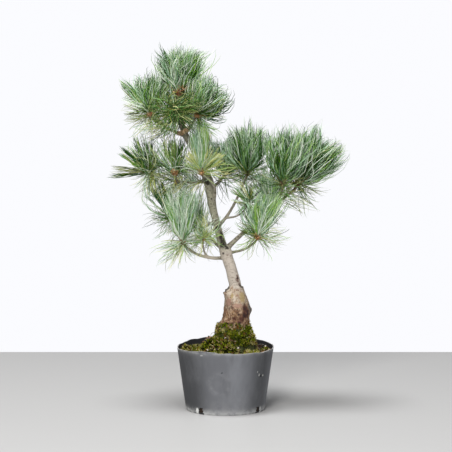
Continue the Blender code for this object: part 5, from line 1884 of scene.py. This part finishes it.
def moss_kinds(places, rng, drier=0.0):
    """Colours of sprigs: those of a clump share a mix, and far left and right are browner."""
    kinds = []
    for place, dry in zip(places, np.broadcast_to(drier, len(places))):
        _, level = clump_at(place)
        draw = (level * 7.31 + 0.5) % 1.0 + 0.30 * noise.noise(Vector(place) * 75) + dry
        side = abs(place[0] - DRY_SIDES[0]) / DRY_SIDES[1]
        draw = min(max(draw + 0.36 * max(side - 0.40, 0), 0), 0.999)
        name = next(kind for kind, limit in MOSS_KINDS if draw < limit)
        kinds.append(rng.choice(6, p=MOSS_MIXES[name]))
    return np.array(kinds)


MOSS_COLOURS = material_kinds("moss", (
    ("yellow", 0.40, 0.38, 0.055, 0.9), ("bright", 0.235, 0.285, 0.010, 0.9),
    ("green", 0.085, 0.118, 0.003, 0.9), ("dark", 0.020, 0.026, 0.001, 0.9),
    ("brown", 0.22, 0.105, 0.022, 0.9), ("pale", 0.62, 0.56, 0.27, 0.9),
), 2200, 0.0002, Specular_IOR_Level=0.1)
# Nearly black: the old moss under the sprigs, and painted shade in the gaps between clumps.
MOSS_BED_AND_SHADE = plain_material("moss_bed", (0.02, 0.02, 0.006), 0.95, Specular_IOR_Level=0.05)
set_colour(MOSS_BED_AND_SHADE, add_blotches(
    MOSS_BED_AND_SHADE, (0.007, 0.007, 0.001), (0.045, 0.030, 0.008), 260, 0.5, 0.2))
add_relief(MOSS_BED_AND_SHADE, 900, 0.0008)
print("moss colours:", len(MOSS_COLOURS))

# %% moss


def area_places(points, faces, spacing, rng):
    """Even random places on triangles, with the face's normal."""
    corners = points[faces]
    cross = np.cross(corners[:, 1] - corners[:, 0], corners[:, 2] - corners[:, 0])
    area = np.linalg.norm(cross, axis=1) / 2
    count = int(area.sum() / spacing**2)
    chosen = rng.choice(len(faces), count, p=area / area.sum())
    u, v = rng.uniform(size=(2, count))
    flip = u + v > 1
    u, v = np.where(flip, 1 - u, u), np.where(flip, 1 - v, v)
    a, b, c = (corners[chosen, k] for k in range(3))
    return a + (b - a) * u[:, None] + (c - a) * v[:, None], unit(cross[chosen])


def make_moss():
    rng = np.random.default_rng(SEED + 3)
    total = 0
    for name, place in (("moss_mound", MOSS_MOUND), *MOSS_CLUMPS.items()):
        points, faces = cushion(place)
        bed = joined(name.replace("moss", "cushion"), points, faces, [MOSS_BED_AND_SHADE], sharp=80)
        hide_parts(name)
        places, normals = area_places(points, faces, SPRIG_SPACING, rng)
        flat = places * (1, 1, 0) + np.array((0, 0, 1)) * (places[:, 2:] - MOSS_FOOT + MOSS_SINK)
        rises = np.array([clump_at(p)[0] for p in flat])
        grown = (places[:, 2] > SOIL_TOP - 0.001) & (rng.uniform(size=len(rises)) < rises * 1.3)
        places, normals = places[grown], unit(normals[grown] + (0, 0, 0.5))
        dry = DRY_FOOT * np.clip(1 - flat[grown, 2] / DRY_UP_TO, 0, 1)
        kinds = moss_kinds(flat[grown], rng, dry)
        # Painted shade: sprigs low in a crease may be dealt dark or brown.
        shaded = (rises[grown] < SHADED_BELOW) & (rng.uniform(size=len(kinds)) < SHADED_SHARE)
        kinds[shaded] = rng.choice((3, 3, 4), shaded.sum())
        total += plant_sprigs(name.replace("moss", "sprigs"), places, normals, rng, kinds)
    return total


def creeping_moss():
    """Sprigs on the foot of the rootstock and in patches on the soil."""
    rng = np.random.default_rng(SEED + 4)
    points, normals = mesh_rows(wood.data, "co"), mesh_rows(wood.data, "normal")
    mossy = np.empty(len(points), np.float32)
    wood.data.attributes["mossy"].data.foreach_get("value", mossy)
    weight = mossy * (points[:, 2] > BARK_SPRIGS_FROM)
    chosen = rng.choice(len(points), BARK_SPRIGS, p=weight / weight.sum())
    ups = unit(normals[chosen] + np.array((0, 0, 0.5)))
    kinds = moss_kinds(points[chosen], rng)
    plant_sprigs("bark_moss", points[chosen], ups, rng, kinds, 0.95)
    spots = []
    while len(spots) < SOIL_SPRIGS:
        x, y = spot_in_pot(rng)
        if noise.noise(Vector((x, y, 0.3)) * 95) > (-0.1 if x < 0 else 0.30):
            spots.append((x, y, soil_height(x, y)))
    spots = np.array(spots)
    ups = np.tile((0.0, 0.0, 1.0), (len(spots), 1))
    kinds = moss_kinds(spots, rng, DRY_FOOT / 2)
    plant_sprigs("soil_moss", spots, ups, rng, kinds, 1.45)


print("moss leaves:", make_moss())
creeping_moss()
print("moss on bark and soil:", BARK_SPRIGS + SOIL_SPRIGS, "sprigs")

# %% [markdown]
# ## Litter
# Dry needles and stalks, crumbs of bark and a few pale stones have fallen on moss and soil. They
# are laid on whatever stands highest where they fall.

# %% litter
DRY_NEEDLES = 130
BARK_CRUMBS = 170
CRUMB_SHARES = (0.3, 0.42, 0.2, 0.08)  # of dark, brown, tan and pale ones
CRUMB_SIZE = (0.0014, 0.0042)
DRY_LENGTH = (0.006, 0.014)
DRY_WIDTH = 0.00062
DRY_LIE = (0.0004, 0.0022)  # how far its ends lie over the ground
DRY_BEND = 0.07
TRUNK_FOOT = (0.0108, 0.024)  # x and radius, kept clear
STEEPEST = 0.003  # a dry needle slides off where its ends would lie further apart in height


def ground_height(x, y):
    """The top of moss or soil at a place."""
    tops = [soil_height(x, y)]
    for cx, cy, width, depth, height in (MOSS_MOUND, *MOSS_CLUMPS.values()):
        apart = ((x - cx) / width) ** 2 + ((y - cy) / depth) ** 2
        if apart < 1:
            rise, level = clump_at((x, y, height * (1 - apart) ** 0.625))
            tops.append(MOSS_FOOT - MOSS_SINK + height * (1 - apart) ** 0.625
                        + CLUMP_RISE * rise * (0.5 + 0.5 * level) * 0.8)
    return max(tops)


def lay_litter():
    """Bent dry needles, then angular crumbs, each with its colour."""
    rng = np.random.default_rng(SEED + 5)
    foot, way, length = [], [], rng.uniform(*DRY_LENGTH, DRY_NEEDLES)
    for long in length:
        x, y = spot_in_pot(rng)
        while math.hypot(x - TRUNK_FOOT[0], y) < TRUNK_FOOT[1]:
            x, y = spot_in_pot(rng)
        heading = rng.uniform(0, 2 * math.pi)
        ends = [(x + s * long * math.cos(heading), y + s * long * math.sin(heading))
                for s in (-0.5, 0.5)]
        limit = inner_radius(SOIL_TOP + 0.004) - 0.001
        ends = [np.array(e) * min(1, limit / math.hypot(*e)) for e in ends]
        tops = [ground_height(*e) + rng.uniform(*DRY_LIE) for e in ends]
        start, end = (np.array((*e, top)) for e, top in zip(ends, tops))
        if abs(tops[0] - tops[1]) > STEEPEST:
            continue
        foot.append(start)
        way.append(end - start)
    foot, way = np.array(foot), np.array(way)
    length = np.linalg.norm(way, axis=1)
    count = len(foot)
    bend = rng.normal(scale=DRY_BEND, size=(count, 3)) * length[:, None] + (0, 0, 0.0012)
    out = np.tile((0.0, 0.0, 1.0), (count, 1))
    width = rng.uniform(0.7, 1.3, count) * DRY_WIDTH
    points, faces, _ = needle_mesh(foot, unit(way), length, bend, bend * 0, bend * 0, out, width)
    parts = [(points, faces)]
    kinds = list(np.repeat(rng.choice((2, 3, 1), count, p=(0.5, 0.12, 0.38)), len(faces) // count))
    for _ in range(BARK_CRUMBS):
        x, y = spot_in_pot(rng)
        size = rng.uniform(*CRUMB_SIZE)
        shape = GRAIN_POINTS * rng.uniform(0.6, 1.2, (12, 1)) * (size / 2) * (1, 0.8, 0.42)
        place = (x, y, ground_height(x, y) + size * 0.1)
        parts.append((tumbled(shape, rng) + place, GRAIN_FACES))
        kinds += [rng.choice((0, 1, 2, 3), p=CRUMB_SHARES)] * len(GRAIN_FACES)
    return (*merged(parts), kinds)


litter_points, litter_faces, litter_kinds = lay_litter()
joined("litter", litter_points, litter_faces, GRAIN_COLOURS, litter_kinds, 25)
print("litter faces:", len(litter_faces))
